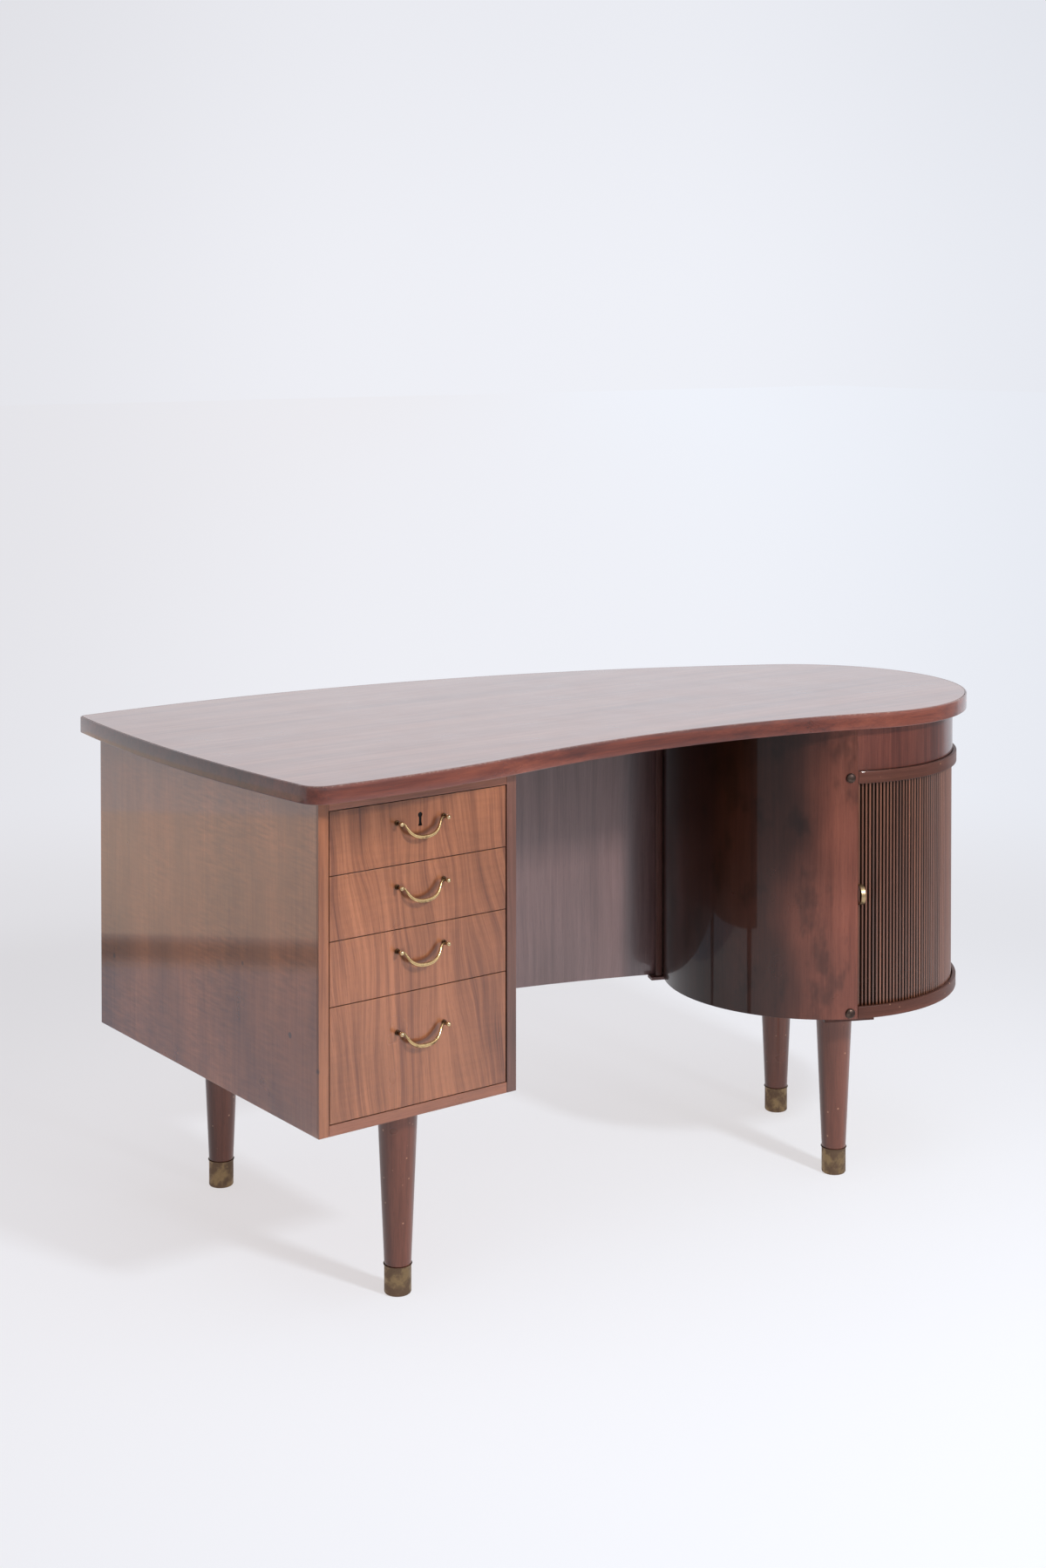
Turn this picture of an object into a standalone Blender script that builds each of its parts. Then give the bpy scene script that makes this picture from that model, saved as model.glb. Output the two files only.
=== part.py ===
"""Kidney-shaped writing desk: four drawers on the left, a round tambour cabinet on the right.

Plan positions are measured from the pedestal's front left corner on the floor: X runs right
along the drawer fronts, Y runs back, Z runs up. The empty desk_origin then moves the whole desk,
so that the world's origin lies on the floor under the middle of the desk top's box.
"""
import math
from collections import namedtuple

import bmesh
import bpy
from mathutils import Vector

# Fits and facets
GAP = 0.0003
CHORD_TOLERANCE = 0.0002
SMOOTH_ANGLE = math.radians(35)

# Desk top
DESK_HEIGHT = 0.740
TOP_THICKNESS = 0.024
EDGE_BAND = 0.003
END_OVERHANG = 0.016
BACK_RADIUS = 2.03
BACK_MEETS_END = math.radians(60.8)
HOLLOW_RADIUS = 1.34
HOLLOW_MEETS_END = math.radians(-108.3)
SWELL_RADIUS = 1.42
SWELL_CENTRE_X = 0.088
LEFT_OVERHANG = 0.055
LEFT_END_RADIUS = 2.80
LEFT_END_CENTRE_Y = 0.300
FRONT_CORNER_RADIUS = 0.034
BACK_CORNER_RADIUS = 0.015

# Drawer pedestal
FLOOR_CLEARANCE = 0.267
PEDESTAL_WIDTH = 0.322
PEDESTAL_DEPTH = 0.628
SIDE_BOARD = 0.016
FLOOR_BOARD = 0.015
BACK_BOARD = 0.012
TOP_RAIL_HEIGHT = 0.019
TOP_RAIL_DEPTH = 0.060

# Drawers, counted from the top; the last one takes the height that is left
SHALLOW_DRAWERS = 3
SHALLOW_PITCH = 0.0865
DRAWER_REVEAL = 0.0012
RIGHT_REVEAL = 0.0026
SPACE_BEHIND_DRAWERS = 0.096
FRONT_BOARD = 0.018
BOX_SIDE = 0.012
BOX_BACK = 0.012
BOX_BOTTOM = 0.005
BOTTOM_GROOVE = 0.005
BOTTOM_RISE = 0.006
BOX_ABOVE_FRONT_FOOT = 0.004
BOX_BELOW_FRONT_HEAD = 0.012

# Runner frames
UPRIGHT_THICKNESS = 0.005
UPRIGHT_WIDTH = 0.035
RUNNER_HEIGHT = 0.010
RUNNER_REACH = 0.005
RUNNER_PLAY = 0.0005
SIDE_PLAY = 0.001
RUNNER_SETBACK = 0.030

# Drawer handles
POST_SPACING = 0.076
POST_STANDOFF = 0.0058
POST_BALL_REACH = 0.0116
POST_COLLAR_RADIUS = 0.0035
POST_COLLAR_HEIGHT = 0.002
POST_STEM_RADIUS = 0.0024
POST_BALL_RADIUS = 0.0033
BAIL_END_RADIUS = 0.0012
BAIL_MIDDLE_RADIUS = 0.0028
BAIL_DROP = 0.0225
BAIL_LEAN = math.radians(19)
BAIL_SHOULDER = 0.0098
PIN_PLAY = 0.0003
HANDLE_LEVEL = 1 / 3
BAIL_STEPS = 10
BAIL_SIDES = 8
POST_SIDES = 12
BALL_STEPS = 5

# Lock of the top drawer
LOCK_WIDTH = 0.036
LOCK_HEIGHT = 0.032
LOCK_DEPTH = 0.011
LOCK_BELOW_FRONT_HEAD = 0.002
BOLT_WIDTH = 0.014
BOLT_THICKNESS = 0.004
BOLT_LENGTH = 0.020
BOLT_THROW = 0.007
BOLT_PLAY = 0.0004
MORTISE_PLAY = 0.001
KEYHOLE_RADIUS = 0.0037
KEYHOLE_WAIST = 0.0041
KEYHOLE_FOOT = 0.0070
KEYHOLE_DROP = 0.0150
KEYHOLE_ABOVE_HANDLE = 0.006
KEYHOLE_STEPS = 10

# Kneehole panel
MODESTY_INSET = 0.195
MODESTY_BOARD = 0.012
MODESTY_POST_WIDTH = 0.011
MODESTY_POST_DEPTH = 0.010
MODESTY_FOOT_WIDTH = 0.032
MODESTY_FOOT_HEIGHT = 0.005

# Round cabinet; angles are counted from +X, anticlockwise from above
CABINET_X = 1.037
CABINET_Y = 0.162
CABINET_RADIUS = 0.237
SHELL_BOARD = 0.006
CABINET_BOARD = 0.019
FRIEZE_HEIGHT = 0.068
FRIEZE_BOARD = 0.008
FRIEZE_LAP = math.radians(4)
OPENING_START = math.radians(-115.3)
OPENING_END = math.radians(11)
LINER_BOARD = 0.004
LINER_LAP = math.radians(3)
SHELF_BOARD = 0.012
SHELF_LEVEL = 0.180

# Tambour
SLAT_PITCH = 0.0062
CURTAIN_SETBACK = 0.0075
CURTAIN_THICKNESS = 0.0070
SLAT_RELIEF = 0.0028
CURTAIN_TONGUE = 0.0055
GROOVE_DEPTH = 0.007
GROOVE_PLAY = 0.0015
CURTAIN_END_PLAY = math.radians(0.25)
CURTAIN_LAP = math.radians(3)
SLAT_SHARES = (0.0, 0.2, 0.5, 0.8)
PULL_RADIUS = 0.016
PULL_STRAP = 0.0018
PULL_WIDTH = 0.007
PULL_FROM_EDGE = 0.0050
PULL_STEPS = 12

# Cover buttons
BUTTON_RADIUS = 0.0075
BUTTON_HEIGHT = 0.0046
BUTTON_FROM_EDGE = 0.012
BUTTON_SIDES = 14
BUTTON_STEPS = 4

# Legs
LEG_TOP_RADIUS = 0.0285
LEG_FOOT_RADIUS = 0.0188
LEG_INSET = 0.068
PEDESTAL_LEG_SHIFT = 0.008
FERRULE_RADIUS = 0.0188
FERRULE_HEIGHT = 0.041
FERRULE_WALL = 0.0012
FERRULE_FLOOR = 0.003
FERRULE_EDGE = 0.003
COLLAR_RADIUS = 0.0201
COLLAR_HEIGHT = 0.0035
LEG_SIDES = 18
FERRULE_EDGE_STEPS = 3
CABINET_LEG_INSET = 0.092
CABINET_LEG_ANGLE = math.radians(65)
CABINET_LEG_SHIFT = -0.009
LEG_RAIL_WIDTH = 0.080
LEG_RAIL_THICKNESS = 0.008
LEG_RAIL_INSET = 0.021

# Levels and places that follow from the sizes above
TOP_UNDERSIDE = DESK_HEIGHT - TOP_THICKNESS
CARCASS_HEAD = TOP_UNDERSIDE - GAP
END_RADIUS = CABINET_RADIUS + END_OVERHANG
CABINET_CENTRE = Vector((CABINET_X, CABINET_Y))
SHELL_INSIDE = CABINET_RADIUS - SHELL_BOARD
BOARD_RADIUS = SHELL_INSIDE - GAP
CURTAIN_FACE = CABINET_RADIUS - CURTAIN_SETBACK
CURTAIN_BACK = CURTAIN_FACE - CURTAIN_THICKNESS
STEP_RADIUS = CURTAIN_BACK - GROOVE_PLAY
CEILING_HEAD = TOP_UNDERSIDE - FRIEZE_HEIGHT
CABINET_FLOOR_TOP = FLOOR_CLEARANCE + CABINET_BOARD
CEILING_FOOT = CEILING_HEAD - CABINET_BOARD
SIDE_INNER_LEFT = SIDE_BOARD + GAP
SIDE_INNER_RIGHT = PEDESTAL_WIDTH - SIDE_BOARD - GAP
PEDESTAL_FLOOR_TOP = FLOOR_CLEARANCE + FLOOR_BOARD
DRAWER_HEAD = TOP_UNDERSIDE - TOP_RAIL_HEIGHT
DRAWER_DEPTH = PEDESTAL_DEPTH - BACK_BOARD - SPACE_BEHIND_DRAWERS

Mount = namedtuple("Mount", "empty origin")

# Colours of the materials: colour, roughness, metallic
FINISHES = {
    "figured_veneer": ((0.26, 0.10, 0.045), 0.28, 0.0),
    "dark_veneer": ((0.12, 0.035, 0.020), 0.25, 0.0),
    "edge_wood": ((0.16, 0.045, 0.022), 0.32, 0.0),
    "slat_wood": ((0.14, 0.055, 0.025), 0.40, 0.0),
    "plain_wood": ((0.50, 0.34, 0.19), 0.55, 0.0),
    "leg_wood": ((0.13, 0.042, 0.024), 0.32, 0.0),
    "bright_brass": ((0.66, 0.47, 0.22), 0.28, 1.0),
    "aged_brass": ((0.20, 0.14, 0.07), 0.45, 1.0),
    "steel": ((0.45, 0.43, 0.40), 0.40, 1.0),
}


def clear_scene():
    """Remove every object, so that the script starts from an empty scene."""
    for thing in list(bpy.data.objects):
        bpy.data.objects.remove(thing, do_unlink=True)


def finish(name, part_name):
    """Make one part's own material from a named finish."""
    colour, roughness, metallic = FINISHES[name]
    made = bpy.data.materials.new(f"{part_name}_{name}")
    made.use_nodes = True
    shader = made.node_tree.nodes["Principled BSDF"]
    shader.inputs["Base Color"].default_value = (*colour, 1.0)
    shader.inputs["Roughness"].default_value = roughness
    shader.inputs["Metallic"].default_value = metallic
    return made


def add_empty(name, origin, mount=None):
    """Add an empty at a plan position, on another empty if one is given."""
    empty = bpy.data.objects.new(name, None)
    bpy.context.collection.objects.link(empty)
    origin = Vector(origin)
    empty.location = origin
    if mount:
        empty.parent = mount.empty
        empty.location = origin - mount.origin
    return Mount(empty, origin)


def add_object(name, bm, mount, origin):
    """Turn a bmesh in plan coordinates into an object with its own origin."""
    origin = Vector(origin) if origin else mount.origin
    bmesh.ops.translate(bm, verts=bm.verts, vec=-origin)
    bmesh.ops.recalc_face_normals(bm, faces=bm.faces)
    mesh = bpy.data.meshes.new(name)
    bm.to_mesh(mesh)
    bm.free()
    thing = bpy.data.objects.new(name, mesh)
    bpy.context.collection.objects.link(thing)
    thing.parent = mount.empty
    thing.location = origin - mount.origin
    return thing


def add_part(name, bm, finish_name, mount, origin=None, smooth=False):
    """Add one solid of the desk, with its material."""
    part = add_object(name, bm, mount, origin)
    part.data.materials.append(finish(finish_name, name))
    if smooth:
        part.data.shade_smooth()
        part.data.set_sharp_from_angle(angle=SMOOTH_ANGLE)
    return part


def combine(part, bm, mount, operation):
    """Cut a hidden solid out of a part, or join it on."""
    tool = add_object(f"{part.name}_{operation.lower()}_tool", bm, mount, None)
    tool.hide_render = True
    tool.display_type = "WIRE"
    modifier = part.modifiers.new(tool.name, "BOOLEAN")
    modifier.operation = operation
    modifier.solver = "EXACT"
    modifier.object = tool


def cut(part, bm, mount):
    """Cut a solid out of a part."""
    combine(part, bm, mount, "DIFFERENCE")


def join(part, bm, mount):
    """Join a solid to a part."""
    combine(part, bm, mount, "UNION")


def arc_steps(radius, sweep):
    """Count the straight runs that keep an arc within the chord tolerance."""
    step = 2 * math.acos(1 - CHORD_TOLERANCE / radius)
    return max(2, math.ceil(abs(sweep) / step))


def arc(centre, radius, start, end, steps):
    """List plan points along an arc, both ends included."""
    points = []
    for index in range(steps + 1):
        angle = start + (end - start) * index / steps
        points.append(centre + direction(angle) * radius)
    return points


def direction(angle):
    """Give the plan's unit vector at an angle."""
    return Vector((math.cos(angle), math.sin(angle)))


def bearing(vector):
    """Give a plan vector's angle from +X."""
    return math.atan2(vector.y, vector.x)


def circle_crossing(centre_a, radius_a, centre_b, radius_b, side):
    """Find where two circles cross, on the left (+1) or right (-1) of the line from a to b."""
    span = centre_b - centre_a
    distance = span.length
    along = (distance ** 2 + radius_a ** 2 - radius_b ** 2) / (2 * distance)
    across = math.sqrt(radius_a ** 2 - along ** 2)
    unit = span / distance
    return centre_a + unit * along + Vector((-unit.y, unit.x)) * across * side


def prism(outline, low, high):
    """Extrude a closed plan outline between two levels."""
    bm = bmesh.new()
    foot = [bm.verts.new((point[0], point[1], low)) for point in outline]
    head = [bm.verts.new((point[0], point[1], high)) for point in outline]
    bm.faces.new(list(reversed(foot)))
    bm.faces.new(head)
    count = len(outline)
    for index in range(count):
        after = (index + 1) % count
        bm.faces.new((foot[index], foot[after], head[after], head[index]))
    return bm


def box(low, high):
    """Make a box from its lowest and highest corners."""
    outline = [(low[0], low[1]), (high[0], low[1]), (high[0], high[1]), (low[0], high[1])]
    return prism(outline, low[2], high[2])


def band(outer, inner, low, high, closed):
    """Make a wall between two plan lines that have as many points as each other."""
    bm = bmesh.new()
    rows = []
    for line, level in ((outer, low), (outer, high), (inner, high), (inner, low)):
        rows.append([bm.verts.new((point[0], point[1], level)) for point in line])
    count = len(outer)
    for index in range(count if closed else count - 1):
        after = (index + 1) % count
        for row in range(4):
            near, far = rows[row], rows[(row + 1) % 4]
            bm.faces.new((near[index], near[after], far[after], far[index]))
    if not closed:
        bm.faces.new([row[0] for row in rows])
        bm.faces.new([row[-1] for row in reversed(rows)])
    return bm


def bent_board(inner_radius, outer_radius, start, end, low, high):
    """Make a board bent round the cabinet's axis."""
    steps = arc_steps(CABINET_RADIUS, end - start)
    outer = arc(CABINET_CENTRE, outer_radius, start, end, steps)
    inner = arc(CABINET_CENTRE, inner_radius, start, end, steps)
    return band(outer, inner, low, high, closed=False)


def turned(profile, sides, place, axis):
    """Turn a profile of (radius, height) rows round an axis; its ends lie on the axis."""
    bm = bmesh.new()
    axis = Vector(axis).normalized()
    across = axis.orthogonal().normalized()
    beside = axis.cross(across)
    rows = []
    for radius, height in profile:
        middle = Vector(place) + axis * height
        if radius == 0:
            rows.append([bm.verts.new(middle)])
            continue
        row = []
        for index in range(sides):
            angle = 2 * math.pi * index / sides
            offset = across * math.cos(angle) + beside * math.sin(angle)
            row.append(bm.verts.new(middle + offset * radius))
        rows.append(row)
    for near, far in zip(rows, rows[1:]):
        for index in range(sides):
            after = (index + 1) % sides
            corners = [near[index % len(near)], near[after % len(near)]]
            corners += [far[after % len(far)], far[index % len(far)]]
            bm.faces.new(list(dict.fromkeys(corners)))
    return bm


def disc_rows(rows):
    """Turn a profile round the cabinet's axis, at the cabinet's own facets."""
    place = (CABINET_X, CABINET_Y, 0)
    return turned(rows, arc_steps(CABINET_RADIUS, 2 * math.pi), place, (0, 0, 1))


def tube(points, radii, across, sides):
    """Sweep a round section along points that lie in the plane square to across."""
    bm = bmesh.new()
    rows = []
    last = len(points) - 1
    for index, point in enumerate(points):
        ahead = (points[min(index + 1, last)] - points[max(index - 1, 0)]).normalized()
        beside = ahead.cross(across)
        row = []
        for corner in range(sides):
            angle = 2 * math.pi * corner / sides
            offset = across * math.cos(angle) + beside * math.sin(angle)
            row.append(bm.verts.new(point + offset * radii[index]))
        rows.append(row)
    for near, far in zip(rows, rows[1:]):
        for corner in range(sides):
            after = (corner + 1) % sides
            bm.faces.new((near[corner], near[after], far[after], far[corner]))
    bm.faces.new(list(reversed(rows[0])))
    bm.faces.new(rows[-1])
    return bm


def back_centre():
    """Give the centre of the long back edge, which the round end's arc touches inside."""
    return CABINET_CENTRE - direction(BACK_MEETS_END) * (BACK_RADIUS - END_RADIUS)


def top_outline(inset):
    """Draw the kidney outline of the top as seven arcs that touch, drawn in by an inset."""
    hollow_centre = CABINET_CENTRE + direction(HOLLOW_MEETS_END) * (HOLLOW_RADIUS + END_RADIUS)
    reach = HOLLOW_RADIUS + SWELL_RADIUS
    swell_rise = math.sqrt(reach ** 2 - (SWELL_CENTRE_X - hollow_centre.x) ** 2)
    swell_centre = Vector((SWELL_CENTRE_X, hollow_centre.y + swell_rise))
    left_centre = Vector((LEFT_END_RADIUS - LEFT_OVERHANG, LEFT_END_CENTRE_Y))
    front_corner = circle_crossing(swell_centre, SWELL_RADIUS - FRONT_CORNER_RADIUS,
                                   left_centre, LEFT_END_RADIUS - FRONT_CORNER_RADIUS, -1)
    back_corner = circle_crossing(back_centre(), BACK_RADIUS - BACK_CORNER_RADIUS,
                                  left_centre, LEFT_END_RADIUS - BACK_CORNER_RADIUS, 1)
    turn = 2 * math.pi
    hollow_side = bearing(swell_centre - hollow_centre)
    swell_left = bearing(front_corner - swell_centre)
    left_front = bearing(front_corner - left_centre) % turn
    left_back = bearing(back_corner - left_centre) % turn
    back_left = bearing(back_corner - back_centre())
    arcs = [
        (CABINET_CENTRE, END_RADIUS, -1, HOLLOW_MEETS_END, BACK_MEETS_END),
        (back_centre(), BACK_RADIUS, -1, BACK_MEETS_END, back_left),
        (back_corner, BACK_CORNER_RADIUS, -1, back_left, left_back),
        (left_centre, LEFT_END_RADIUS, -1, left_back, left_front),
        (front_corner, FRONT_CORNER_RADIUS, -1, left_front, swell_left % turn),
        (swell_centre, SWELL_RADIUS, -1, swell_left, hollow_side - math.pi),
        (hollow_centre, HOLLOW_RADIUS, 1, hollow_side, HOLLOW_MEETS_END + math.pi),
    ]
    points = []
    for centre, radius, sense, start, end in arcs:
        steps = arc_steps(radius, end - start)
        points += arc(centre, radius + sense * inset, start, end, steps)[:-1]
    return points


def make_top(desk):
    """Make the veneered top and the solid band round its edge."""
    core = prism(top_outline(EDGE_BAND + GAP), TOP_UNDERSIDE, DESK_HEIGHT)
    add_part("desktop", core, "figured_veneer", desk)
    edge = band(top_outline(0), top_outline(EDGE_BAND), TOP_UNDERSIDE, DESK_HEIGHT, closed=True)
    add_part("desktop_edge_band", edge, "edge_wood", desk, smooth=True)


def make_pedestal(desk):
    """Make the drawer pedestal's carcass."""
    left, right = SIDE_INNER_LEFT, SIDE_INNER_RIGHT
    width, depth = PEDESTAL_WIDTH, PEDESTAL_DEPTH
    foot, head = FLOOR_CLEARANCE, CARCASS_HEAD
    back = depth - BACK_BOARD
    boards = {
        "pedestal_side_left": ((0, 0, foot), (SIDE_BOARD, depth, head)),
        "pedestal_side_right": ((width - SIDE_BOARD, 0, foot), (width, depth, head)),
        "pedestal_floor": ((left, 0, foot), (right, back - GAP, PEDESTAL_FLOOR_TOP)),
        "pedestal_back": ((left, back, foot), (right, depth, head)),
    }
    for name, (low, high) in boards.items():
        add_part(name, box(low, high), "figured_veneer", desk)
    rail = box((left, 0, DRAWER_HEAD), (right, TOP_RAIL_DEPTH, head))
    top_rail = add_part("pedestal_top_rail", rail, "edge_wood", desk)
    cut(top_rail, bolt_mortise(), desk)


def drawer_levels():
    """Give each drawer's foot and head, from the top drawer down."""
    half = DRAWER_REVEAL / 2
    seams = [DRAWER_HEAD - SHALLOW_PITCH * (index + 1) for index in range(SHALLOW_DRAWERS)]
    heads = [DRAWER_HEAD - half] + seams
    feet = seams + [PEDESTAL_FLOOR_TOP + half]
    return [(foot + half, head - half) for foot, head in zip(feet, heads)]


def box_levels(foot, head):
    """Give the foot and head of a drawer's box inside its front's own levels."""
    return foot + BOX_ABOVE_FRONT_FOOT, head - BOX_BELOW_FRONT_HEAD


def runner_middle(foot, head):
    """Give the level of a drawer's runner."""
    return sum(box_levels(foot, head)) / 2


def box_sides():
    """Give the left and right outer faces of the drawer boxes."""
    stand_in = UPRIGHT_THICKNESS + SIDE_PLAY
    return SIDE_INNER_LEFT + stand_in, SIDE_INNER_RIGHT - stand_in


def make_runner_frames(desk):
    """Make a frame of uprights and runner strips on each side of the pedestal."""
    reach = UPRIGHT_THICKNESS + SIDE_PLAY + RUNNER_REACH - RUNNER_PLAY
    spans = {
        "left": (SIDE_INNER_LEFT, SIDE_INNER_LEFT + UPRIGHT_THICKNESS, SIDE_INNER_LEFT + reach),
        "right": (SIDE_INNER_RIGHT, SIDE_INNER_RIGHT - UPRIGHT_THICKNESS, SIDE_INNER_RIGHT - reach),
    }
    front, back = RUNNER_SETBACK, DRAWER_DEPTH
    foot, head = PEDESTAL_FLOOR_TOP + GAP, DRAWER_HEAD - GAP
    for side, (wall, upright, tip) in spans.items():
        near, far = sorted((wall, upright))
        upright_box = box((near, front, foot), (far, front + UPRIGHT_WIDTH, head))
        frame = add_part(f"runner_frame_{side}", upright_box, "plain_wood", desk)
        near_tip, far_tip = sorted((wall, tip))
        for levels in drawer_levels():
            middle = runner_middle(*levels)
            strip = box((near_tip, front, middle - RUNNER_HEIGHT / 2),
                        (far_tip, back, middle + RUNNER_HEIGHT / 2))
            join(frame, strip, desk)
        join(frame, box((near, back - UPRIGHT_WIDTH, foot), (far, back, head)), desk)


def bottom_slab(foot, play):
    """Make a drawer's bottom panel, grown by a play for the groove that holds it."""
    left, right = box_sides()
    level = foot + BOTTOM_RISE
    groove = BOTTOM_GROOVE - GAP + play
    low = (left + BOX_SIDE - groove, FRONT_BOARD - groove, level - play)
    high = (right - BOX_SIDE + groove, DRAWER_DEPTH - BOX_BACK + groove, level + BOX_BOTTOM + play)
    return box(low, high)


def make_drawer(desk, number, foot, head):
    """Make one drawer's front, box and bottom, on an empty of its own."""
    name = f"drawer_{number}"
    middle_x = PEDESTAL_WIDTH / 2
    slide = add_empty(f"{name}_slide", (middle_x, 0, (foot + head) / 2), desk)
    left, right = box_sides()
    box_foot, box_head = box_levels(foot, head)

    front_left = SIDE_BOARD + DRAWER_REVEAL
    front_right = PEDESTAL_WIDTH - SIDE_BOARD - RIGHT_REVEAL
    front = box((front_left, 0, foot), (front_right, FRONT_BOARD, head))
    front_part = add_part(f"{name}_front", front, "figured_veneer", slide)
    cut(front_part, bottom_slab(box_foot, GAP), slide)

    sides_front = FRONT_BOARD + GAP
    inner_back = DRAWER_DEPTH - BOX_BACK
    outline = [(left, sides_front), (left + BOX_SIDE, sides_front), (left + BOX_SIDE, inner_back),
               (right - BOX_SIDE, inner_back), (right - BOX_SIDE, sides_front), (right, sides_front),
               (right, DRAWER_DEPTH), (left, DRAWER_DEPTH)]
    box_part = add_part(f"{name}_box", prism(outline, box_foot, box_head), "plain_wood", slide)
    cut(box_part, bottom_slab(box_foot, GAP), slide)
    groove_half = RUNNER_HEIGHT / 2 + RUNNER_PLAY
    level = runner_middle(foot, head)
    groove_spans = [(left - SIDE_PLAY, left + RUNNER_REACH), (right - RUNNER_REACH, right + SIDE_PLAY)]
    for low_x, high_x in groove_spans:
        groove = box((low_x, RUNNER_SETBACK - RUNNER_PLAY, level - groove_half),
                     (high_x, DRAWER_DEPTH + SIDE_PLAY, level + groove_half))
        cut(box_part, groove, slide)
    add_part(f"{name}_bottom", bottom_slab(box_foot, 0), "plain_wood", slide)

    handle_level = head - (head - foot) * HANDLE_LEVEL
    make_handle(slide, name, middle_x, handle_level)
    return front_part, slide, handle_level


def bail_points(middle, level):
    """Give the bail's centre line, leaning outward, and its radii."""
    half = POST_SPACING / 2
    shoulder = half - POST_BALL_RADIUS
    bend = shoulder - BAIL_SHOULDER
    bulge = bend + BAIL_SHOULDER / 2
    side = []
    for index in range(BAIL_STEPS + 1):
        t = index / BAIL_STEPS
        u = 1 - t
        x = u ** 3 * shoulder + 3 * u * u * t * bend + 3 * u * t * t * bulge
        z = -BAIL_DROP * (3 * u * t * t + t ** 3)
        radius = BAIL_END_RADIUS + (BAIL_MIDDLE_RADIUS - BAIL_END_RADIUS) * t
        side.append((x, z, radius))
    side.insert(0, (half, 0.0, BAIL_END_RADIUS))
    line = [(-x, z, radius) for x, z, radius in side]
    line += list(reversed(side))[1:]
    out = math.sin(BAIL_LEAN)
    down = math.cos(BAIL_LEAN)
    points = [Vector((middle + x, -POST_STANDOFF + z * out, level + z * down))
              for x, z, radius in line]
    return points, [radius for x, z, radius in line]


def post_profile():
    """Give a handle post's turned profile, from the drawer's face to the tip of its ball."""
    rows = [(0, GAP), (POST_COLLAR_RADIUS, GAP), (POST_COLLAR_RADIUS, POST_COLLAR_HEIGHT)]
    neck = math.asin(POST_STEM_RADIUS / POST_BALL_RADIUS)
    rows.append((POST_STEM_RADIUS, POST_COLLAR_HEIGHT + GAP))
    for index in range(BALL_STEPS):
        angle = neck + (math.pi - neck) * index / BALL_STEPS
        height = POST_BALL_REACH - POST_BALL_RADIUS * math.cos(angle)
        rows.append((POST_BALL_RADIUS * math.sin(angle), height))
    rows.append((0, POST_BALL_REACH + POST_BALL_RADIUS))
    return rows


def make_handle(slide, name, middle, level):
    """Make a bail handle: two turned posts and a bail that swings in their stems."""
    points, radii = bail_points(middle, level)
    bail = tube(points, radii, Vector((0, 1, 0)), BAIL_SIDES)
    axis = (middle, -POST_STANDOFF, level)
    add_part(f"{name}_bail", bail, "bright_brass", slide, origin=axis, smooth=True)
    for side, sign in (("left", -1), ("right", 1)):
        x = middle + sign * POST_SPACING / 2
        solid = turned(post_profile(), POST_SIDES, (x, 0, level), (0, -1, 0))
        post = add_part(f"{name}_post_{side}", solid, "aged_brass", slide, smooth=True)
        hole_end = x + sign * (BAIL_END_RADIUS + PIN_PLAY)
        mouth = x - sign * POST_BALL_RADIUS * 2
        hole = [Vector((hole_end, -POST_STANDOFF, level)), Vector((mouth, -POST_STANDOFF, level))]
        cut(post, tube(hole, [BAIL_END_RADIUS + PIN_PLAY] * 2, Vector((0, 1, 0)), BAIL_SIDES), slide)


def lock_box():
    """Give the lock case's corners, behind the top drawer's front."""
    foot, head = drawer_levels()[0]
    middle = PEDESTAL_WIDTH / 2
    near = FRONT_BOARD + GAP
    case_head = head - LOCK_BELOW_FRONT_HEAD
    low = (middle - LOCK_WIDTH / 2, near, case_head - LOCK_HEIGHT)
    return low, (middle + LOCK_WIDTH / 2, near + LOCK_DEPTH, case_head)


def bolt_box(play, foot, head):
    """Make the bolt's block between two levels, grown sideways by a play."""
    low, high = lock_box()
    middle_y = (low[1] + high[1]) / 2
    half_x = BOLT_WIDTH / 2 + play
    half_y = BOLT_THICKNESS / 2 + play
    middle_x = PEDESTAL_WIDTH / 2
    low = (middle_x - half_x, middle_y - half_y, foot)
    return box(low, (middle_x + half_x, middle_y + half_y, head))


def bolt_mortise():
    """Make the pocket in the top rail that the thrown bolt enters."""
    bolt_head = lock_box()[1][2] + BOLT_THROW
    return bolt_box(MORTISE_PLAY, DRAWER_HEAD - MORTISE_PLAY, bolt_head + MORTISE_PLAY)


def keyhole_outline(middle, level):
    """Draw the keyhole: a round head and a slot that widens to its foot."""
    half_waist = KEYHOLE_WAIST / 2
    half_foot = KEYHOLE_FOOT / 2
    start = -math.pi / 2 + math.asin(half_waist / KEYHOLE_RADIUS)
    end = 3 * math.pi / 2 - math.asin(half_waist / KEYHOLE_RADIUS)
    head = arc(Vector((middle, level)), KEYHOLE_RADIUS, start, end, KEYHOLE_STEPS)
    foot = level - KEYHOLE_DROP
    flare = (level + 2 * foot) / 3
    slot = [(middle - half_waist, flare), (middle - half_foot, foot),
            (middle + half_foot, foot), (middle + half_waist, flare)]
    return head + [Vector(point) for point in slot]


def make_lock(slide, front, handle_level):
    """Make the top drawer's lock case, its bolt and the keyhole through the front."""
    low, high = lock_box()
    case = add_part("drawer_1_lock_case", box(low, high), "steel", slide)
    bolt_foot = high[2] - BOLT_LENGTH
    cut(case, bolt_box(BOLT_PLAY, bolt_foot - GAP, high[2] + BOLT_PLAY), slide)
    bolt = bolt_box(0, bolt_foot, high[2])
    add_part("drawer_1_lock_bolt", bolt, "steel", slide)
    outline = keyhole_outline(PEDESTAL_WIDTH / 2, handle_level + KEYHOLE_ABOVE_HANDLE)
    keyhole = prism(outline, -FRONT_BOARD, 2 * FRONT_BOARD)
    for vert in keyhole.verts:
        vert.co = Vector((vert.co.x, vert.co.z, vert.co.y))
    cut(front, keyhole, slide)


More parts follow.
